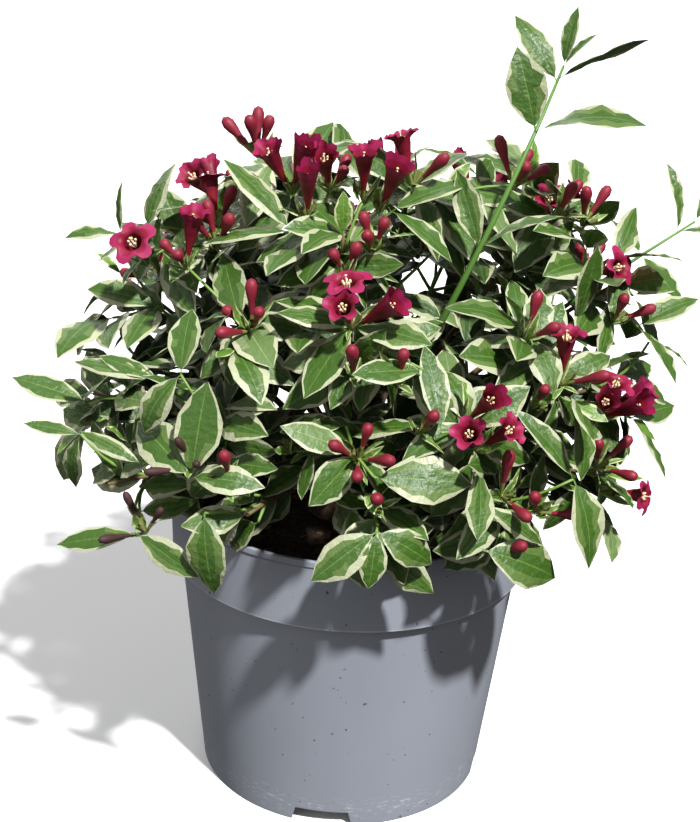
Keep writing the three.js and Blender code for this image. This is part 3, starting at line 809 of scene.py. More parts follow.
def stool_section():
    foot = stem_low.z
    section = [(0, foot), (FLARE_RADIUS - KNOBS, foot), (NECK_RADIUS - KNOBS, foot + FLARE_HEIGHT)]
    for k in range(STOOL_ARC + 1):
        lift = LOWEST_LIFT + (90 - LOWEST_LIFT) * k / STOOL_ARC
        outward = direction(0, lift) * (HEAD_RADIUS - KNOBS)
        section.append((outward.x if k < STOOL_ARC else 0, head.z + outward.z))
    return section


stool = spin_section(stool_section(), STOOL_STEPS)
for vert in stool.verts:
    if vert.co.z > stem_low.z:
        vert.co += (vert.co - head).normalized() * KNOBS * noise.noise(vert.co / KNOB_SIZE)
ridge(stool, UP)
finish_piece("stool", stool, [stem_bark], ["stem"])

for spray in SPRAYS:
    heap = Heap()
    names = []
    for mass, route, begin in zip(MASSES, routes, begins):
        if mass.spray == spray and mass.spread:
            limb = grow_limb(route.stretch(0, begin, BOUGH_STEPS), BOUGH_FOOT, BOUGH_TIP, BARK_SIDES)
            ridge(limb, route.way(begin / 2))
            heap.add(limb)
            names.append(f"{mass.name}_bough")
    if names:
        finish_piece(f"boughs_{spray}", heap.bm, [stem_bark], names)

# %% [markdown]
# ## Shoots
#
# Every leafy stem carries opposite pairs of side shoots, each pair at right angles to the last,
# and the shoots bear the leaves. The rule draws its angles and lengths from a seeded generator,
# so the plant is the same each time. A shoot that would cross a border is tried shorter. Spurs
# that carry a truss of flowers grow out of the nearest stem.

# %% The order of growth
FIRST_SEED = 4187
SEED_STEP = 977
TIP_GAP = 0.4 * MM
SHOOT_STATIONS = (0.13, 0.35, 0.56, 0.76)
SHOOT_ANGLE = (42, 64)
SHOOT_TURN = 15
SHOOT_TAPER = 0.45
SHOOT_RISE = 0.12
SHOOT_LENGTH = (0.85, 1.15)
SHOOT_TRIES = (1, 0.8, 0.6, 0.45)
SHOOT_BEND = 0.16
SHOOT_MARGIN = 6 * MM

Twig = namedtuple("Twig", "route begin foot tip green sheds", defaults=(False,))
Node = namedtuple("Node", "mass point way angle lean size young twig station", defaults=(None, 1))


def first_fitting(root, way, length, i):
    """The longest of the tried lengths whose end keeps to the mass's space, or None."""
    for share in SHOOT_TRIES:
        tip = root + way * length * share
        if past_border(tip, i) < -SHOOT_MARGIN and not in_the_pot(tip):
            return length * share
    return None


def bent_route(root, way, length):
    """A shoot sets out a little lower than it ends."""
    tip = root + way * length
    elbow = root + way * length / 2 - UP * length * SHOOT_BEND * (1 - abs(way.z))
    return Route(root, elbow, tip)


print("pairs of shoots on a stem:", len(SHOOT_STATIONS))

# %% Grow the shoots of one mass
STEM_NODES = (*SHOOT_STATIONS, 0.9)
SHOOT_NODES = (0.36, 0.7)
STEM_FOOT, STEM_TIP = 1.8 * MM, 1.1 * MM
SHOOT_FOOT, SHOOT_TIP = 1.3 * MM, 0.8 * MM
MIDDLE_LEAN, TIP_LEAN, YOUNG_LEAN = 0.3, 0.5, 0.78
YOUNG_SIZE = 0.5
LOW_LEAF_SIZE = 0.86
SHOOT_TIP_SIZE = 0.94


def tip_nodes(i, twig, angle, size):
    """A shoot ends in a pair of leaves with a smaller, younger pair standing up inside it."""
    point, way = twig.route.tip, twig.route.way(1)
    yield Node(i, point, way, angle, TIP_LEAN, size, False, twig)
    yield Node(i, point, way, angle + 90, YOUNG_LEAN, size * YOUNG_SIZE, True, twig)


def grow_shoot(i, stem_way, root, station, angle, draw):
    way = (leaning(stem_way, draw(*SHOOT_ANGLE), angle) + UP * SHOOT_RISE).normalized()
    taper = 1 - SHOOT_TAPER * station
    full_length = MASSES[i].spread * MM * taper * draw(*SHOOT_LENGTH)
    turn = draw(0, 180)
    length = first_fitting(root, way, full_length, i)
    if length is None:
        return None, []
    route = bent_route(root, way, length)
    twig = Twig(route, 0, SHOOT_FOOT, SHOOT_TIP, True, sheds=True)
    nodes = []
    for k, place in enumerate(SHOOT_NODES):
        spot = (i, route.point(place), route.way(place), turn + 90 * k)
        size = LOW_LEAF_SIZE + (1 - LOW_LEAF_SIZE) * place
        nodes.append(Node(*spot, MIDDLE_LEAN, size, False, twig, place))
    nodes += tip_nodes(i, twig, turn + 180, SHOOT_TIP_SIZE)
    return twig, nodes


def grow_bushy(i):
    mass, route, begin = MASSES[i], routes[i], begins[i]
    draw = seeded_draw(FIRST_SEED + SEED_STEP * i)
    begin += TIP_GAP / (route.tip - route.foot).length
    phase = draw(0, 90)
    stem = Twig(route, begin, STEM_FOOT, STEM_TIP, False)
    twigs, nodes = [stem], []
    for k, station in enumerate(SHOOT_STATIONS):
        t = begin + (1 - begin) * station
        for half in (0, 180):
            angle = phase + 90 * k + half + draw(-SHOOT_TURN, SHOOT_TURN)
            twig, more = grow_shoot(i, route.way(t), route.point(t), station, angle, draw)
            if twig:
                twigs.append(twig)
                nodes += more
    for k, station in enumerate(STEM_NODES):
        t = begin + (1 - begin) * station
        nodes.append(Node(i, route.point(t), route.way(t), phase + 90 * (k + 1), MIDDLE_LEAN, 1, False))
    nodes += tip_nodes(i, stem, phase, 1)
    return twigs, nodes


print("pairs of leaves stand on a stem at", STEM_NODES, "and on a shoot at", SHOOT_NODES)

# %% Grow the two whips
WhipLeaf = namedtuple("WhipLeaf", "station azimuth lift length narrow roll")
WHIP_LEAVES = {
    "tall_shoot": [
        (0.04, 172, 70, 46, 0.7, -60), (0.04, -12, 40, 50, 0.6, 0),
        (0.62, 172, 74, 47, 1, -58), (0.62, -2, 27, 62, 0.85, -10),
        (0.9, 172, 58, 46, 0.72, -58), (0.92, 0, 30, 54, 0.85, -40),
        (1, 40, 84, 34, 0.6, -40), (1, 0, 58, 26, 0.55, 10),
    ],
    "side_shoot": [
        (0.1, -60, -20, 46, 0.8, 0), (0.1, 120, 40, 46, 0.8, 0),
        (0.7, 60, 86, 44, 0.4, 0), (0.72, -40, 20, 44, 0.6, 20),
        (1, 30, 62, 34, 0.55, 0), (1, -20, 14, 32, 0.55, 20),
    ],
}
LEAF_LENGTH = 53 * MM
LEAF_WIDTH = 26 * MM
whip_leaves = []


def grow_whip(i):
    """A whip's leaves are listed one by one, because each of them shows against the sky."""
    route, begin = routes[i], begins[i]
    for leaf in map(WhipLeaf._make, WHIP_LEAVES[MASSES[i].name]):
        point = route.point(begin + (1 - begin) * leaf.station)
        whip_leaves.append((i, point, direction(leaf.azimuth, leaf.lift), leaf))
    return [Twig(route, 0, BOUGH_FOOT, SHOOT_TIP, True)], []


twigs, nodes = defaultdict(list), []
for i, mass in enumerate(MASSES):
    grown_twigs, grown_nodes = grow_bushy(i) if mass.spread else grow_whip(i)
    twigs[mass.spray] += grown_twigs
    nodes += grown_nodes
print("twigs:", sum(map(len, twigs.values())), "pairs of leaves to place:", len(nodes))

# %% [markdown]
# ## Trusses and sprigs
#
# The flowers come in trusses of up to five at the end of a spur, and one truss keeps only its
# spent calyxes. Each truss is named, like a mass, by the way and the distance from the head, here
# to the middle of its blossom. `open` flowers have spread their lobes, the `buds` are still closed
# clubs, `rise` says how much the truss stands up, and on a withered one the buds have dried. The
# trusses at the back are dealt out in steps. A few sprigs of leaves that stand out of the crown
# are listed in the same way, each with its leaves' directions, lengths and widths.

# %% List the trusses
Truss = namedtuple("Truss", "azimuth lift reach open buds rise withered", defaults=(0.4, False))
TRUSS_PLACES = {
    "left shoulder": [
        (-162, 50, 219, 1, 1), (-143, 54, 220, 1, 2, 0.8), (-141, 59, 219, 0, 3), (-148, 62, 222, 1, 2),
    ],
    "top": [
        (-150, 72, 246, 0, 4), (-126, 71, 232, 2, 0), (-112, 67, 228, 1, 0), (-110, 74, 230, 1, 3),
        (-91, 71, 233, 1, 0, 0.9), (-84, 70, 229, 1, 0), (-66, 74, 236, 1, 1, 1.2),
    ],
    "upper middle": [
        (-87, 63, 222, 0, 3), (-95, 59, 215, 0, 2), (-92, 51, 210, 3, 0), (-81, 44, 203, 0, 1, 1.5),
        (-91, 44, 198, 0, 1), (-118, 49, 204, 0, 4),
    ],
    "right shoulder": [
        (-18, 67, 240, 0, 4), (-5, 59, 233, 0, 2), (2, 54, 236, 0, 2), (-4, 49, 216, 1, 2),
        (-12, 39, 217, 0, 2, 0), (-45, 47, 206, 0, 2), (-39, 38, 201, 1, 1), (-48, 36, 196, 0, 1),
    ],
    "right side": [
        (-66, 36, 196, 1, 0), (-64, 31, 191, 2, 0), (-76, 35, 191, 0, 1), (-27, 29, 194, 4, 0),
        (-28, 20, 188, 0, 3), (-25, 10, 186, 1, 0, -0.1), (-58, 22, 183, 0, 2), (-49, 17, 181, 0, 2),
    ],
    "low front": [
        (-89, 29, 185, 0, 4, 0.1), (-85, 22, 178, 0, 1), (-124, 24, 185, 0, 3, 0.4, True),
        (-116, 24, 184, 0, 1), (-58, 10, 174, 0, 1), (-134, 11, 180, 0, 3, 1.2, True),
        (-104, 31, 180, 0, 0),
    ],
}
BACK_TRUSSES = 14
BACK_AZIMUTHS = (24, 152)
BACK_LIFTS = (54, 36, 16)
BACK_REACHES = (218, 204, 186)


def back_truss(k):
    first, last = BACK_AZIMUTHS
    azimuth = first + (last - first) * k / (BACK_TRUSSES - 1)
    row = k % len(BACK_LIFTS)
    return Truss(azimuth, BACK_LIFTS[row], BACK_REACHES[row], 1 + (k + 1) % 3, 1 + row)


trusses = [Truss(*numbers) for place in TRUSS_PLACES.values() for numbers in place]
trusses += map(back_truss, range(BACK_TRUSSES))
print("trusses:", len(trusses), "with", sum(truss.open for truss in trusses), "open flowers")

# %% List the sprigs
Sprig = namedtuple("Sprig", "azimuth lift reach leaves")
SprigLeaf = namedtuple("SprigLeaf", "azimuth lift length narrow")
SPRIGS = [
    (-156, 23, 184, [(172, 15, 47, 0.75)]),
    (-135, 34, 184, [(165, 10, 56, 0.5), (158, 12, 40, 0.6)]),
    (-134, 19, 176, [(165, 22, 43, 0.5)]),
    (-152, 18, 186, [(-168, -62, 38, 0.95), (178, 10, 34, 0.6)]),
    (-133, 6, 174, [(172, -14, 50, 0.6), (-36, -16, 44, 0.8)]),
    (-122, 20, 174, [(69, 74, 53, 1.05), (144, 28, 56, 0.9), (-31, 16, 43, 0.85)]),
    (-119, 14, 168, [(-84, -62, 48, 1.05)]),
    (174, 45, 208, [(180, 18, 38, 0.55), (172, 74, 34, 0.5)]),
    (-168, 52, 208, [(80, 74, 46, 1), (180, -24, 38, 0.85)]),
    (-115, 63, 206, [(172, -3, 53, 0.6), (160, 48, 56, 0.65)]),
    (-79, 69, 208, [(20, 28, 50, 0.75), (-26, -19, 44, 0.75)]),
    (7, 71, 206, [(165, 42, 42, 0.5)]),
    (-86, 25, 174, [(2, 0, 53, 1.05)]),
    (-85, 15, 166, [(-158, -33, 45, 1), (-98, -62, 32, 1), (-4, -23, 40, 1)]),
    (-65, 19, 172, [(6, -28, 48, 0.45)]),
    (-64, 10, 166, [(6, -16, 56, 1)]),
    (-46, 20, 184, [(-50, -50, 52, 1.1), (-176, 58, 52, 0.55)]),
    (-11, 33, 206, [(10, -14, 38, 0.4)]),
    (-73, 32, 182, [(110, 64, 50, 0.65)]),
    (-76, 42, 190, [(-157, 4, 40, 0.9)]),
    (-47, 34, 188, [(104, 65, 38, 1.05)]),
    (-6, 40, 210, [(-20, -55, 44, 0.7), (30, 10, 40, 0.6)]),
    (-4, 46, 214, [(-30, 24, 46, 0.9), (60, 40, 44, 0.8), (-80, -30, 40, 0.8)]),
    (-10, 36, 204, [(10, 34, 44, 0.8), (-50, -20, 44, 0.9)]),
    (-128, 36, 190, [(-160, -40, 42, 0.9), (90, 60, 40, 1)]),
]
sprigs = [Sprig(*numbers) for numbers in SPRIGS]
print("sprigs:", len(sprigs), "with", sum(len(sprig.leaves) for sprig in sprigs), "leaves")

# %% Grow a spur to each truss and sprig
SPUR_BACK = 0.7
SPUR_FOOT, SPUR_TIP = 1.2 * MM, 0.75 * MM
SPUR_NODES = (0.45, 0.8)
SPUR_START = 0.03
SPUR_LEAF_SIZE = 0.85
ROUTE_SAMPLES = 24
OUTWARD_SHARE = 0.85
BLOSSOM_DEPTH = 21 * MM


def nearest_on_stems(point):
    """The mass whose stem passes nearest to a point, and the place on its route."""
    places = []
    for i, (mass, route, begin) in enumerate(zip(MASSES, routes, begins)):
        if mass.spread:
            for k in range(ROUTE_SAMPLES):
                t = begin + (1 - begin) * k / ROUTE_SAMPLES
                places.append(((route.point(t) - point).length, i, t))
    return min(places)


def grow_spur(end):
    """A green twig from the nearest stem to `end`."""
    distance, i, t = nearest_on_stems(end)
    route = routes[i]
    t = max(begins[i] + SPUR_START, t - SPUR_BACK * distance / (route.tip - route.foot).length)
    root = route.point(t)
    elbow = root + route.way(t) * (end - root).length * ELBOW
    spur = Route(root, elbow, end)
    twigs[MASSES[i].spray].append(Twig(spur, 0, SPUR_FOOT, SPUR_TIP, True))
    return i, spur


def spur_node(i, spur, place, angle):
    return Node(i, spur.point(place), spur.way(place), angle, MIDDLE_LEAN, SPUR_LEAF_SIZE, False)


truss_ends = []
for truss in trusses:
    outward = direction(truss.azimuth, truss.lift)
    way = (outward * OUTWARD_SHARE + UP * truss.rise).normalized()
    end = head + outward * truss.reach * MM - way * BLOSSOM_DEPTH
    i, spur = grow_spur(end)
    nodes += [spur_node(i, spur, place, 90 * k) for k, place in enumerate(SPUR_NODES)]
    truss_ends.append((truss, end, way))
sprig_leaves = []
for sprig in sprigs:
    end = head + direction(sprig.azimuth, sprig.lift) * sprig.reach * MM
    i, spur = grow_spur(end)
    nodes.append(spur_node(i, spur, SPUR_NODES[0], 0))
    sprig_leaves += [(i, end, SprigLeaf(*leaf)) for leaf in sprig.leaves]
print("spurs:", len(trusses) + len(sprigs))

# %% [markdown]
# ## One leaf
#
# A leaf starts as a small grid, seven faces wide and ten long. Its rows run from the foot of
# the stalk to the tip, and its columns follow the midrib, the green middle and the border of the
# cream margin, which wanders from row to row. The rows lie on a bent line, each half is folded
# up from the midrib, and the edge waves. Each face then takes its colour by its column.

# %% Shape a leaf from a grid
COLUMNS, ROWS = 7, 10
HALF = (COLUMNS + 1) // 2
ROW_SHARES = (0, 0.07, 0.15, 0.26, 0.38, 0.5, 0.61, 0.72, 0.83, 0.93, 1)
STALK_HALF = 0.022
RIB_HALF = 0.03
RIB, GREEN, GREY, CREAM = range(4)
LEAF_VARIANTS = 10
FOOT_SLOPE, TIP_SLOPE = (2, 22), (-52, -8)
FOLD, CURL, WAVE, TWIST = (4, 24), (0.02, 0.26), (0.02, 0.08), (-24, 24)
WAVES = 7
PLEAT = 0.064
PLEATED = (0.2, 0.95)
TOOTH = 0.025
FULLEST, BLUNT, TIP_TAPER, LEAST_HALF = 0.96, 0.82, 0.3, 0.008
GREEN_REACH, THIN_GAIN, FURTHEST_GREEN = 0.72, 0.2, 0.94
REACH_DRAW, BAY_DRAW, TEETH = (-0.05, 0.04), (-0.22, 0.08), (0.05, 0.12)
FLAKE_FROM, FLAKE_TO = (1, 6), (4, ROWS + 1)
LEAF_WELD = 0.003


def half_width(share):
    """Half the width of the blade at a share of the leaf's length, as a share of its fullest."""
    blade = max(0, (share - ROW_SHARES[1]) / (1 - ROW_SHARES[1]))
    if share <= ROW_SHARES[1]:
        return STALK_HALF * 2
    return sin(pi * blade**FULLEST) ** BLUNT * (1 - TIP_TAPER * blade**5) + LEAST_HALF


def spine_points(start, end):
    """The bent line through the rows, as (y, z, slope), one unit long."""
    points = [(0, 0, start)]
    for before, after in zip(ROW_SHARES, ROW_SHARES[1:]):
        slope = start + (end - start) * (before + after) / 2
        y, z, _ = points[-1]
        step = after - before
        points.append((y + cos(slope) * step, z + sin(slope) * step, slope))
    return points


def side_border(draw, thin):
    """How far out the green reaches at each row: ragged, with teeth and bays."""
    reach = GREEN_REACH + THIN_GAIN * thin + draw(*REACH_DRAW)
    tooth = draw(*TEETH)
    border = [reach + tooth * (-1) ** row + draw(*BAY_DRAW) for row in range(ROWS + 1)]
    return [min(FURTHEST_GREEN, out) for out in border]


def leaf_shape(seed, thin):
    """A leaf whose cream margin is broad where `thin` is 0 and narrow where it is 1."""
    draw = seeded_draw(seed)
    spine = spine_points(radians(draw(*FOOT_SLOPE)), radians(draw(*TIP_SLOPE)))
    fold, curl, wave = radians(draw(*FOLD)), draw(*CURL), draw(*WAVE)
    phase, twist = draw(0, 2 * pi), radians(draw(*TWIST))
    borders = [side_border(draw, thin) for _ in range(2)]
    flakes = [(int(draw(*FLAKE_FROM)), int(draw(*FLAKE_TO))) for _ in range(2)]
    bm = bmesh.new()
    bmesh.ops.create_grid(bm, x_segments=COLUMNS, y_segments=ROWS, size=0.5)
    cells = {}
    for vert in bm.verts:
        cells[vert] = (round((vert.co.x + 0.5) * COLUMNS), round((vert.co.y + 0.5) * ROWS))
    for vert, (column, row) in cells.items():
        side = column // HALF
        border = borders[side][row]
        steps = (RIB_HALF, 0.5 * border, border, 1)
        out = steps[column - HALF] if side else steps[HALF - 1 - column]
        zigzag = (-1) ** row
        pleat = PLEAT * zigzag if PLEATED[0] < out < PLEATED[1] else 0
        tooth = 1 + TOOTH * zigzag if out == 1 else 1
        width = half_width(ROW_SHARES[row]) * LEAF_WIDTH / LEAF_LENGTH / 2
        across = width * out * cos(fold) * tooth * (1 if side else -1)
        rise = width * (out * sin(fold) - curl * out**2) + pleat * width
        rise += wave * width * 2 * sin(WAVES * ROW_SHARES[row] + phase + 2 * side) * out**2
        y, z, slope = spine[row]
        turn = Matrix.Rotation(twist * ROW_SHARES[row], 3, "Y")
        bent = turn @ Vector((across, 0, rise))
        vert.co = (bent.x, y - bent.z * sin(slope), z + bent.z * cos(slope))
    for face in bm.faces:
        column = min(cells[vert][0] for vert in face.verts)
        row = min(cells[vert][1] for vert in face.verts)
        face.material_index = leaf_colour(column, row, flakes)
    bmesh.ops.remove_doubles(bm, verts=bm.verts, dist=LEAF_WELD)
    return bm


def leaf_colour(column, row, flakes):
    """Next to the cream lies a grey-green flake on each half, from one row to another."""
    if column == COLUMNS // 2 or row == 0:
        return RIB
    if column in (0, COLUMNS - 1):
        return CREAM
    first, last = flakes[column // HALF]
    if column in (1, COLUMNS - 2) and first <= row < last:
        return GREY
    return GREEN


print("a leaf is widest at", max(ROW_SHARES, key=half_width), "of its length")

# %% [markdown]
# ## Leaves of four tints
#
# Young leaves at the tips are yellow-green, most leaves are a full green, and a few have gone
# pale. Those deep in the crown take a darker copy of the full green, which is painted shade for
# the shade inside the crown. A pattern can't be kept on a joined piece of hundreds of leaves, so
# each tint has four plain colours of its own, dealt out face by face: for the midrib, the green
# middle, the grey-green flakes and the cream margin. Only the gloss and the fine relief, which
# quilts the blade between its veins, are left to nodes.

# %% Colours of the leaves
LEAF_SEED, LEAF_SEED_STEP = 5003, 131
LEAF_PARTS = ("rib", "green", "grey", "cream")
LEAF_TINTS = {
    "young": [(110, 140, 58), (84, 120, 36), (110, 136, 66), (180, 184, 138)],
    "mature": [(88, 118, 46), (56, 88, 23), (84, 108, 50), (166, 170, 138)],
    # The shaded tint is a darker copy of the mature one, used as painted shade for leaves deep in the
    # crown.
    "shaded": [(72, 100, 40), (43, 70, 20), (70, 92, 44), (152, 156, 122)],
    "pale": [(126, 144, 94), (92, 116, 64), (116, 132, 90), (174, 175, 144)],
}
LEAF_GLOSS = {"Scale": 90, "Low": 0.38, "High": 0.6}
LEAF_RELIEF = (280, 2, 0.6, 1.6 * MM)

leaf_materials = []
leaf_shapes = defaultdict(list)
for tint, colours in LEAF_TINTS.items():
    for variant in range(LEAF_VARIANTS):
        shape = leaf_shape(LEAF_SEED + LEAF_SEED_STEP * variant, variant / (LEAF_VARIANTS - 1))
        for face in shape.faces:
            face.material_index += len(leaf_materials)
        leaf_shapes[tint].append(keep_shape(f"leaf {tint} {variant}", shape))
    for part, colour in zip(LEAF_PARTS, colours):
        material = new_material(f"Leaf {tint} {part}", colour, 0.5)
        leaf_materials.append(dress(material, gloss=LEAF_GLOSS, relief=LEAF_RELIEF))
print("leaf shapes:", LEAF_VARIANTS, "of", len(leaf_shapes["mature"][0].polygons), "faces")

# %% [markdown]
# ## Flowers and buds
#
# A weigela flower is a narrow tube that widens into a bell and opens in five round lobes. A bud
# is a closed club with five faint ridges. Both are rings of corners round one line: a circle is
# extruded ring by ring, and a small function says how far out and how high each corner lies, so
# lobes and ridges are only waves in that function.

# %% A sleeve of rings
def sleeve(sides, rings, corner, material_of=lambda ring: 0):
    """Rings of corners about +Z. `corner(ring, angle)` gives a radius and a height."""
    bm = bmesh.new()
    corners = bmesh.ops.create_circle(bm, segments=sides, radius=1)["verts"]
    rim = bm.edges[:]
    for ring in range(rings):
        if ring:
            known = set(bm.faces)
            rim, corners = split_made(bmesh.ops.extrude_edge_only(bm, edges=rim)["geom"])
            for face in set(bm.faces) - known:
                face.material_index = material_of(ring)
        for vert in corners:
            angle = atan2(vert.co.y, vert.co.x)
            radius, height = corner(ring, angle)
            vert.co = (cos(angle) * radius, sin(angle) * radius, height)
    bmesh.ops.remove_doubles(bm, verts=bm.verts, dist=WELD)
    return bm


print("the helper for sleeves is ready")

# %% The corolla
COROLLA_LENGTH = 28 * MM
COROLLA_SIDES = 30
TUBE = [(1.3, 0), (1.8, 3.5), (2.6, 8), (3.7, 12.5), (4.7, 17), (5.1, 20)]
LOBES = 5
LOBE_RINGS = 4
LOBE_MIDDLE = 9.2
LOBE_RADIUS = 4.8
LOBE_CUP = 3
LOBE_LIFT = 4
LOBE_GAP = 0.4
LOBE_SWELL = (0.88, 1.1)
TUBE_RIBS = 0.04
RUFFLES = 3 * LOBES
RUFFLE = 0.6
THROAT_RING, EDGE_RING = 4, len(TUBE) + 2
COROLLA_VARIANTS = [(0.95, 4.2, 71), (0.75, 2.4, 72), (0.55, 1.2, 73), (0.4, 0.8, 74), (0.28, 0.4, 75)]


def lobe_reach(off):
    """How far out a round lobe reaches, `off` radians from its middle line."""
    across = LOBE_MIDDLE * sin(off)
    if abs(across) >= LOBE_RADIUS:
        return TUBE[-1][0] + LOBE_GAP
    return LOBE_MIDDLE * cos(off) + (LOBE_RADIUS**2 - across**2) ** 0.5


def corolla_corner(openness, droop, seed):
    draw = seeded_draw(seed)
    swells = [draw(*LOBE_SWELL) for _ in range(LOBES)]

    def corner(ring, angle):
        if ring < len(TUBE):
            radius, height = TUBE[ring]
            ribs = 1 + TUBE_RIBS * cos(LOBES * angle)
            return radius * ribs * MM, height * MM
        share = (ring - len(TUBE) + 1) / LOBE_RINGS
        lobe = round(angle * LOBES / (2 * pi))
        off = angle - lobe * 2 * pi / LOBES
        swell = swells[lobe % LOBES]
        throat, mouth_height = TUBE[-1]
        out = (lobe_reach(off) * swell - throat) * share
        lift = (LOBE_LIFT * share - droop * share**2) * swell
        lift += LOBE_CUP * share * (off * LOBES / pi) ** 2
        lift += RUFFLE * share * sin(RUFFLES * angle + seed)
        return (throat + out * openness) * MM, (mouth_height + lift + out * (1 - openness)) * MM
    return corner


def corolla_colour(ring):
    """The colour changes at three rings: to the throat's, the lobes' and their edge's."""
    return sum(ring >= change for change in (THROAT_RING, len(TUBE), EDGE_RING))


corollas = []
for openness, droop, seed in COROLLA_VARIANTS:
    shape = corolla_corner(openness, droop, seed)
    bm = sleeve(COROLLA_SIDES, len(TUBE) + LOBE_RINGS, shape, corolla_colour)
    corollas.append(keep_shape(f"corolla {seed}", bm))
print("corollas:", len(corollas), "of", len(corollas[0].polygons), "faces")

# %% Buds, calyxes and stamens
BUD_LENGTH = (12, 24)
BUD_CLUB = [(1.1, 0), (1.5, 0.18), (2, 0.38), (3.1, 0.6), (3.5, 0.78), (2.5, 0.93), (0, 1)]
WITHERED_SIZE = 0.72
BUD_SIDES = 10
BUD_RIDGES = 0.1
CALYX = [(0.7, 0), (0.9, 5), (1.3, 9.5)]
SEPAL_LENGTH = 10
SEPAL_SPREAD = 3.4
SEPAL_FOOT, SEPAL_POINT = 0.2, 1.5
CALYX_DEPTH = 9.5 * MM
STAMEN_FOOT = 12 * MM
STAMEN_LENGTH, STYLE_LENGTH = 8.5 * MM, 12.5 * MM
STAMEN_LIFT = 76
FILAMENT = (0.32 * MM, 0.25 * MM, 4)
KNOB_WIDTH = 0.8
ANTHER_HEIGHT, STIGMA_HEIGHT = 1.5, 0.5
SPENT_CALYXES = 3
SPENT_TILT = (14, 46)
BRACTS = 5
BRACT_LENGTH = (15 * MM, 24 * MM)
BRACT_NARROW = 0.4
BRACT_TILT = (16, 44)
BRACT_SCATTER = 30


def bud_corner(ring, angle):
    radius, share = BUD_CLUB[ring]
    return radius * (1 + BUD_RIDGES * cos(LOBES * angle)) * MM, share


def calyx_corner(ring, angle):
    if ring < len(CALYX):
        radius, height = CALYX[ring]
        return radius * MM, height * MM
    sepal = max(0, cos(LOBES * angle)) ** SEPAL_POINT
    radius, height = CALYX[-1]
    return (radius + SEPAL_SPREAD * sepal) * MM, (height + SEPAL_FOOT + SEPAL_LENGTH * sepal) * MM


def stamens():
    """Five cream stamens and a longer style that ends in a pale knob."""
    heap = Heap()
    stamen = (STAMEN_LENGTH, ANTHER_HEIGHT)
    lines = [(direction(360 * k / LOBES, STAMEN_LIFT), *stamen) for k in range(LOBES)]
    for line, length, height in [*lines, (UP, STYLE_LENGTH, STIGMA_HEIGHT)]:
        foot = UP * STAMEN_FOOT
        end = foot + line * length
        heap.add(grow_limb([foot, (foot + end) / 2, end], *FILAMENT))
        knob = bmesh.new()
        lie = Matrix.Translation(end) @ Matrix.Diagonal((KNOB_WIDTH, KNOB_WIDTH, height, 1))
        bmesh.ops.create_icosphere(knob, subdivisions=1, radius=MM, matrix=lie)
        heap.add(knob, 1)
    return heap.bm


bud_shapes = []
for withered in (0, 1):
    bm = sleeve(BUD_SIDES, len(BUD_CLUB), bud_corner, lambda ring: withered)
    bud_shapes.append(keep_shape(f"bud {withered}", bm))
calyx_shape = keep_shape("calyx", sleeve(BUD_SIDES, len(CALYX) + 1, calyx_corner))
stamen_shape = keep_shape("stamens", stamens())
small_shapes = {"bud": bud_shapes[0], "calyx": calyx_shape, "stamens": stamen_shape}
print("faces:", {name: len(shape.polygons) for name, shape in small_shapes.items()})

# %% [markdown]
# ## Setting out the blossom
#
# The flowers of a truss spread round its line like the spokes of a half-open umbrella. Open
# flowers lean out further than the buds. Each stands on a slender calyx tube. What a flower
# takes up is noted, so that no leaf is later grown through it.

# %% Set out the trusses
OPEN_TILT = (20, 52)
BUD_TILT = (14, 50)
LONELY_TILT = (0, 16)
LONELY = 2
SCATTER = 14
BLOSSOM_SEED = 3301
CALYX_SINK, BRACT_SINK = 2 * MM, 4 * MM
FLOWER_SEAT = 0.9
FLOWER_SIZE = (0.88, 1.06)
FLOWER_ROOM = (0.4, 0.75, 1)
BUD_STOUTNESS, BUD_THICKENS = 0.75, 0.3
LIGHT_WAY = direction(-66, 45)
TURNED_TO_LIGHT = 0.35
CELL = 8 * MM


class Crowd:
    """Points already taken, sorted into cells so that near ones are found quickly."""

    def __init__(self):
        self.cells = defaultdict(list)

    def cell(self, point):
        return tuple(math.floor(value / CELL) for value in point)

    def add(self, point):
        self.cells[self.cell(point)].append(point.copy())

    def near(self, point, room):
        x, y, z = self.cell(point)
        reach = range(-ceil(room / CELL), ceil(room / CELL) + 1)
        for near in ((x + a, y + b, z + c) for a in reach for b in reach for c in reach):
            if any((other - point).length < room for other in self.cells.get(near, ())):
                return True
        return False


crowd = Crowd()
blossom = {kind: Heap() for kind in ("corollas", "buds", "calyxes", "stamens", "bracts")}
draw = seeded_draw(BLOSSOM_SEED)


def calyx_place(end, way, line):
    return Matrix.Translation(end - way * CALYX_SINK) @ aim(line)


def set_bracts(end, way):
    """Spent calyxes and small narrow leaves stand round the foot of a truss."""
    for _ in range(SPENT_CALYXES):
        line = leaning(way, draw(*SPENT_TILT), draw(0, 360))
        blossom["calyxes"].add_copy(calyx_shape, calyx_place(end, way, line))
    for k in range(BRACTS):
        line = leaning(way, draw(*BRACT_TILT), 360 * k / BRACTS + draw(-BRACT_SCATTER, BRACT_SCATTER))
        turn = aim(line, "Y", "Z") @ Matrix.Rotation(draw(0, pi), 4, "Y")
        size = Matrix.Scale(draw(*BRACT_LENGTH), 4) @ Matrix.Diagonal((BRACT_NARROW, 1, 1, 1))
        place = Matrix.Translation(end - way * BRACT_SINK) @ turn @ size
        blossom["bracts"].add_copy(leaf_shapes["young"][k % LEAF_VARIANTS], place)


def set_flower(place):
    size = draw(*FLOWER_SIZE)
    shape = pick(draw, corollas)
    blossom["corollas"].add_copy(shape, place @ Matrix.Scale(size, 4))
    blossom["stamens"].add_copy(stamen_shape, place @ Matrix.Scale(size, 4))
    return COROLLA_LENGTH * size


def set_bud(place, withered):
    length = draw(*BUD_LENGTH) * MM
    stout = BUD_STOUTNESS + BUD_THICKENS * length / BUD_LENGTH[1] / MM
    if withered:
        stout *= WITHERED_SIZE
    blossom["buds"].add_copy(bud_shapes[withered], place @ Matrix.Diagonal((stout, stout, length, 1)))
    return length


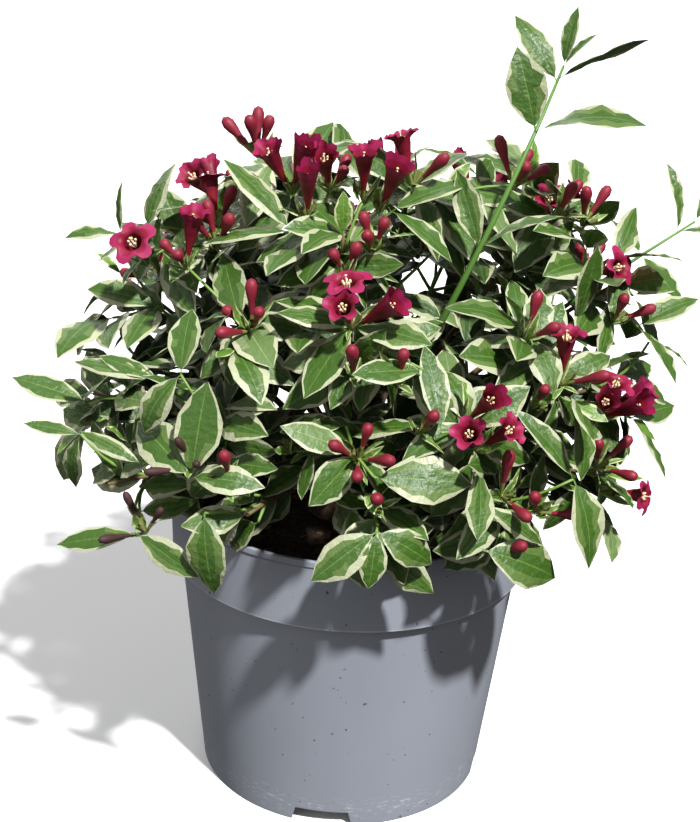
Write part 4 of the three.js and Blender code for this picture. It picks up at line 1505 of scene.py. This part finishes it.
for truss, end, way in truss_ends:
    count = truss.open + truss.buds
    phase = draw(0, 360)
    set_bracts(end, way)
    for k in range(count):
        is_open = k < truss.open
        tilts = LONELY_TILT if count < LONELY else OPEN_TILT if is_open else BUD_TILT
        line = leaning(way, draw(*tilts), phase + 360 * k / count + draw(-SCATTER, SCATTER))
        if is_open:
            line = (line + LIGHT_WAY * TURNED_TO_LIGHT).normalized()
        place = calyx_place(end, way, line)
        blossom["calyxes"].add_copy(calyx_shape, place)
        place = place @ Matrix.Translation((0, 0, CALYX_DEPTH * FLOWER_SEAT))
        place = place @ Matrix.Rotation(draw(0, pi), 4, "Z")
        length = set_flower(place) if is_open else set_bud(place, truss.withered)
        for share in FLOWER_ROOM:
            crowd.add(place @ Vector((0, 0, length * share)))
print("faces of blossom:", {kind: len(heap.bm.faces) for kind, heap in blossom.items()})

# %% Finish the blossom
PETAL_COLOURS = {
    "tube": (124, 17, 35),
    "throat": (108, 10, 36),
    "lobe": (126, 15, 48),
    "edge": (144, 26, 74),
}
PETAL_GLOSS = {"Scale": 160, "Low": 0.48, "High": 0.7}
PETAL_ROUGHNESS, PETAL_SHINE = 0.6, {"Specular_IOR_Level": 0.3}

petals = []
for part, colour in PETAL_COLOURS.items():
    petals.append(new_material(f"Petal {part}", colour, PETAL_ROUGHNESS, **PETAL_SHINE))
bud_red = new_material("Bud", (126, 20, 42), 0.42)
for material in (*petals, bud_red):
    dress(material, gloss=PETAL_GLOSS)
BLOSSOM_FINISH = {
    "corollas": petals,
    "buds": [bud_red, new_material("Withered bud", (60, 30, 30), 0.7)],
    "calyxes": [new_material("Calyx", (112, 118, 58), 0.6)],
    "stamens": [
        new_material("Filament", (240, 226, 206), 0.5),
        new_material("Anther", (236, 216, 160), 0.6),
    ],
    "bracts": leaf_materials,
}
for kind, materials in BLOSSOM_FINISH.items():
    finish_piece(kind, blossom[kind].bm, materials)

# %% [markdown]
# ## Setting out the leaves
#
# Leaves grow in pairs from the nodes. Each one points out from its twig and turns its upper side
# to the sky and the light. One that would grow into the pot, a flower or another leaf is turned
# about its twig or made smaller, and then left out, as the plant itself sheds what has no room.

# %% Where the crown stays open
Hollow = namedtuple("Hollow", "azimuth lift half_angle")
HOLLOWS = [Hollow(-104, 9, 12), Hollow(-95, 3, 8), Hollow(-143, 3, 10), Hollow(-40, 5, 8)]
SkyGap = namedtuple("SkyGap", "azimuth lift reach radius")
SKY_GAPS = [
    (-72, 57, 200, 14), (-64, 42, 190, 11), (-137, 45, 205, 8), (-137, 39, 200, 6),
    (-119, 38, 194, 7), (-128, 31, 192, 7), (-18, 17, 205, 9), (-48, 12, 188, 9),
    (-25, 6, 195, 11), (-12, 26, 212, 10), (-46, 15, 186, 8),
]
EYE = Vector((0, -919.7, 617.3)) * MM
print("hollows:", len(HOLLOWS), "gaps with sky behind them:", len(SKY_GAPS))

# %% How a leaf lies
ALONG_TWIG = 0.75
OUTWARDS = 0.35
SKYWARDS = 0.45
TOWARDS_LIGHT = 0.35
LOW_DROOP = 0.1
DROOP_ENDS_AT = 45
ROLL = 24
SIZE_DRAW = (0.86, 1.1)
TURN_DRAW = 12
TURNS = (0, 22, -22, 44, -44, 66, -66)
SIZES = (1, 0.85, 0.7)
TESTED = (0.35, 0.62, 0.9)
LEAF_ROOM = 11 * MM
BORDER_SLACK = 3 * MM
STAND_OUT = (4 * MM, 25 * MM)
HEM_HEIGHT = 3 * MM
HEM_DEPTH = 20 * MM
HEM_WAVES = 2.6
# Leaves nearer the head than this share of their mass's reach take the shaded tint, which is painted
# shade.
DEEP = 0.8
PALE_SHARE = 0.1
LEAF_SAG = 0.1


def leaf_matrix(root, twig_way, way, length, roll):
    """Turns a leaf's upper side away from the plant, to the sky and to the light."""
    outward = (root - head).normalized()
    up = twig_way * ALONG_TWIG + outward * OUTWARDS + UP * SKYWARDS + LIGHT_WAY * TOWARDS_LIGHT
    up = (up - way * up.dot(way)).normalized()
    up = Quaternion(way, radians(roll)) @ up
    across = way.cross(up)
    turn = Matrix((across, way, up)).transposed().to_4x4()
    return Matrix.Translation(root) @ turn @ Matrix.Scale(length, 4)


def hem(point):
    """The height of the crown's wavy lower edge under a point."""
    around = (point - axis).xy.normalized().to_3d()
    return POT_HEIGHT + HEM_HEIGHT - HEM_DEPTH * max(0, noise.noise(around * HEM_WAVES))


def in_an_opening(point):
    """Hollows are cones from the head, and sky gaps are lines of sight through the crown."""
    outward = (point - head).normalized()
    for hollow in HOLLOWS:
        if outward.angle(direction(hollow.azimuth, hollow.lift)) < radians(hollow.half_angle):
            return True
    for gap in map(SkyGap._make, SKY_GAPS):
        middle = head + direction(gap.azimuth, gap.lift) * gap.reach * MM
        sight = (middle - axis - EYE).normalized()
        from_eye = point - axis - EYE
        if (from_eye - sight * from_eye.dot(sight)).length < gap.radius * MM:
            return True
    return False


def tested_points(matrix):
    return [matrix @ Vector((0, share, -LEAF_SAG * share)) for share in TESTED]


def has_room(matrix, i, stand_out):
    points = tested_points(matrix)
    if any(in_the_pot(point) or crowd.near(point, LEAF_ROOM) for point in points):
        return False
    tip = points[-1]
    too_far = (tip - head).length > MASSES[i].reach * MM + stand_out
    if too_far or past_border(tip, i) > BORDER_SLACK or tip.z < hem(tip):
        return False
    if any(in_an_opening(point) for point in points):
        return False
    for point in points:
        crowd.add(point)
    return True


def place_leaf(node, angle, size, roll, stand_out):
    hang = LOW_DROOP * max(0, 1 - MASSES[node.mass].lift / DROOP_ENDS_AT)
    for smaller in SIZES:
        for turn in TURNS:
            way = square_to(node.way, angle + turn).lerp(node.way, node.lean)
            way = (way - UP * hang).normalized()
            length = size * smaller * LEAF_LENGTH
            matrix = leaf_matrix(node.point, node.way, way, length, roll)
            if has_room(matrix, node.mass, stand_out):
                return matrix
    return None


print("a leaf is tried in", len(TURNS) * len(SIZES), "ways")

# %% Set out the leaves
LEAF_PLACES_SEED = 7703
NARROW = (0.78, 1.08)
YOUNG_NARROW = 0.84


def tint_of(node, dice):
    if node.young:
        return "young"
    if dice < PALE_SHARE:
        return "pale"
    mass = MASSES[node.mass]
    depth = (node.point - head).length / (mass.reach * MM)
    # Deep leaves get the darker shaded colours, painted shade inside the crown.
    return "mature" if depth > DEEP else "shaded"


leaf_heaps = {spray: Heap() for spray in SPRAYS}
leafy_to = defaultdict(float)
draw = seeded_draw(LEAF_PLACES_SEED)


def add_leaf(i, shape, matrix, narrow):
    leaf_heaps[MASSES[i].spray].add_copy(shape, matrix @ Matrix.Diagonal((narrow, 1, 1, 1)))


thin_margins = leaf_shapes["mature"][LEAF_VARIANTS // 2:]
for i, point, way, leaf in whip_leaves:
    matrix = leaf_matrix(point, UP, way, leaf.length * MM, leaf.roll)
    add_leaf(i, pick(draw, thin_margins), matrix, leaf.narrow)
for i, point, leaf in sprig_leaves:
    outward = (point - head).normalized()
    matrix = leaf_matrix(point, outward, direction(leaf.azimuth, leaf.lift), leaf.length * MM, 0)
    for spot in tested_points(matrix):
        crowd.add(spot)
    add_leaf(i, pick(draw, leaf_shapes["mature"]), matrix, leaf.narrow)
placed = 0
for node in sorted(nodes, key=lambda node: -(node.point - head).length):
    for half in (0, 180):
        size = node.size * draw(*SIZE_DRAW)
        angle = node.angle + half + draw(-TURN_DRAW, TURN_DRAW)
        roll = draw(-ROLL, ROLL)
        variant = pick(draw, range(LEAF_VARIANTS))
        narrow = draw(*NARROW) * (YOUNG_NARROW if node.young else 1)
        dice = draw(0, 1)
        matrix = place_leaf(node, angle, size, roll, stand_out=draw(*STAND_OUT))
        if matrix:
            placed += 1
            leafy_to[node.twig] = max(leafy_to[node.twig], node.station)
            add_leaf(node.mass, leaf_shapes[tint_of(node, dice)][variant], matrix, narrow)
print("leaves placed:", placed, "of", 2 * len(nodes))

for spray in SPRAYS:
    names = [mass.name for mass in MASSES if mass.spray == spray]
    finish_piece(f"leaves_{spray}", leaf_heaps[spray].bm, leaf_materials, names)

# %% [markdown]
# ## Twigs of two ages
#
# Old stems are brown and the shoots of this year are green. Both are limbs on six sides. A side
# shoot is drawn only as far as its outermost leaf, because a bare end dies back, and one that
# kept no leaf is left out. They are joined, kind by kind, into one piece for each spray.

# %% Draw the twigs
TWIG_SIDES = 6
TWIG_STEPS = 7


def draw_twigs(spray, green):
    heap = Heap()
    for twig in twigs[spray]:
        end = leafy_to[twig] if twig.sheds else 1
        if twig.green == green and end:
            points = twig.route.stretch(twig.begin, end, TWIG_STEPS)
            heap.add(grow_limb(points, twig.foot, twig.tip, TWIG_SIDES))
    return heap.bm


old_twig = new_material("Brown twig", (112, 92, 62), 0.75)
young_twig = new_material("Green shoot", (116, 150, 66), 0.5)
bright_twig = new_material("Bright shoot", (88, 130, 52), 0.5)
WHIP_NODES = ["tall_shoot_bough", "side_shoot_bough"]
for spray in SPRAYS:
    if spray == "whips":
        finish_piece("whip_stems", draw_twigs(spray, True), [bright_twig], WHIP_NODES)
    else:
        finish_piece(f"stems_{spray}", draw_twigs(spray, False), [old_twig])
        finish_piece(f"shoots_{spray}", draw_twigs(spray, True), [young_twig])

# %% [markdown]
# ## Floor, light and camera
#
# The plant stands on a plain pale floor. A key from the upper right gives the leaves their shine
# and their shadows. A very wide light overhead stands for an open sky, and weak fills come from
# the left and from behind. The surround looks white but gives little light, so that the inside of
# the crown stays dark. The floor takes the shadows but throws no light back up. The camera is a
# short telephoto that looks down on the plant from a little above, turned slightly about its own
# line of sight.

# %% Floor and light
FLOOR_HALF = 30
Light = namedtuple("Light", "azimuth lift spread energy")
LIGHTS = {
    "key": Light(-60, 54, 3, 6.1),
    "sky": Light(-90, 84, 150, 0.9),
    "fill": Light(-150, 8, 60, 0.6),
    "back": Light(110, 30, 60, 1.4),
}
SURROUND_LIGHT = 0.09

floor_mesh = bmesh.new()
bmesh.ops.create_grid(floor_mesh, x_segments=1, y_segments=1, size=FLOOR_HALF)
floor = add_object("floor", keep_shape("floor", floor_mesh))
floor.data.materials.append(new_material("Pale floor", (245, 245, 245), 0.9))
floor.visible_diffuse = False
floor.visible_glossy = False
floor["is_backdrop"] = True

for name, plan in LIGHTS.items():
    light = bpy.data.lights.new(name, "SUN")
    light.angle = radians(plan.spread)
    light.energy = plan.energy
    lamp = add_object(name, light)
    towards = direction(plan.azimuth, plan.lift)
    lamp.location = head + towards
    lamp.rotation_mode = "QUATERNION"
    lamp.rotation_quaternion = towards.to_track_quat("Z", "Y")

world = bpy.data.worlds.new("Pale sky")
world.use_nodes = True
sky = world.node_tree.nodes["Background"]
sky.inputs["Color"].default_value = (1, 1, 1, 1)
seen = add_node(world.node_tree, "LightPath").outputs["Is Camera Ray"]
strength = add_value(world.node_tree, "Math", {0: seen, 1: SURROUND_LIGHT}, operation="MAXIMUM")
world.node_tree.links.new(strength, sky.inputs["Strength"])
bpy.context.scene.world = world
bpy.context.scene.view_settings.view_transform = "Standard"
print("lights:", list(LIGHTS))

# %% Camera
PITCH, YAW, ROLL_ANGLE = radians(22.18), radians(0.23), radians(2.68)
LENS = 70
SENSOR = 36

camera_data = bpy.data.cameras.new("camera")
camera_data.lens = LENS
camera_data.sensor_width = SENSOR
camera = add_object("camera", camera_data)
level = Matrix.Rotation(YAW, 4, "Z") @ Matrix.Rotation(pi / 2 - PITCH, 4, "X")
camera.matrix_world = Matrix.Translation(axis + EYE) @ level @ Matrix.Rotation(ROLL_ANGLE, 4, "Z")
bpy.context.scene.camera = camera
print("camera at", tuple(round(v, 3) for v in camera.location))

# %% Write the sizes and finish
boxes = {"cad": cad_box, "visual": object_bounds()}
plain = {name: [list(corner) for corner in box] for name, box in boxes.items()}
print(plain)
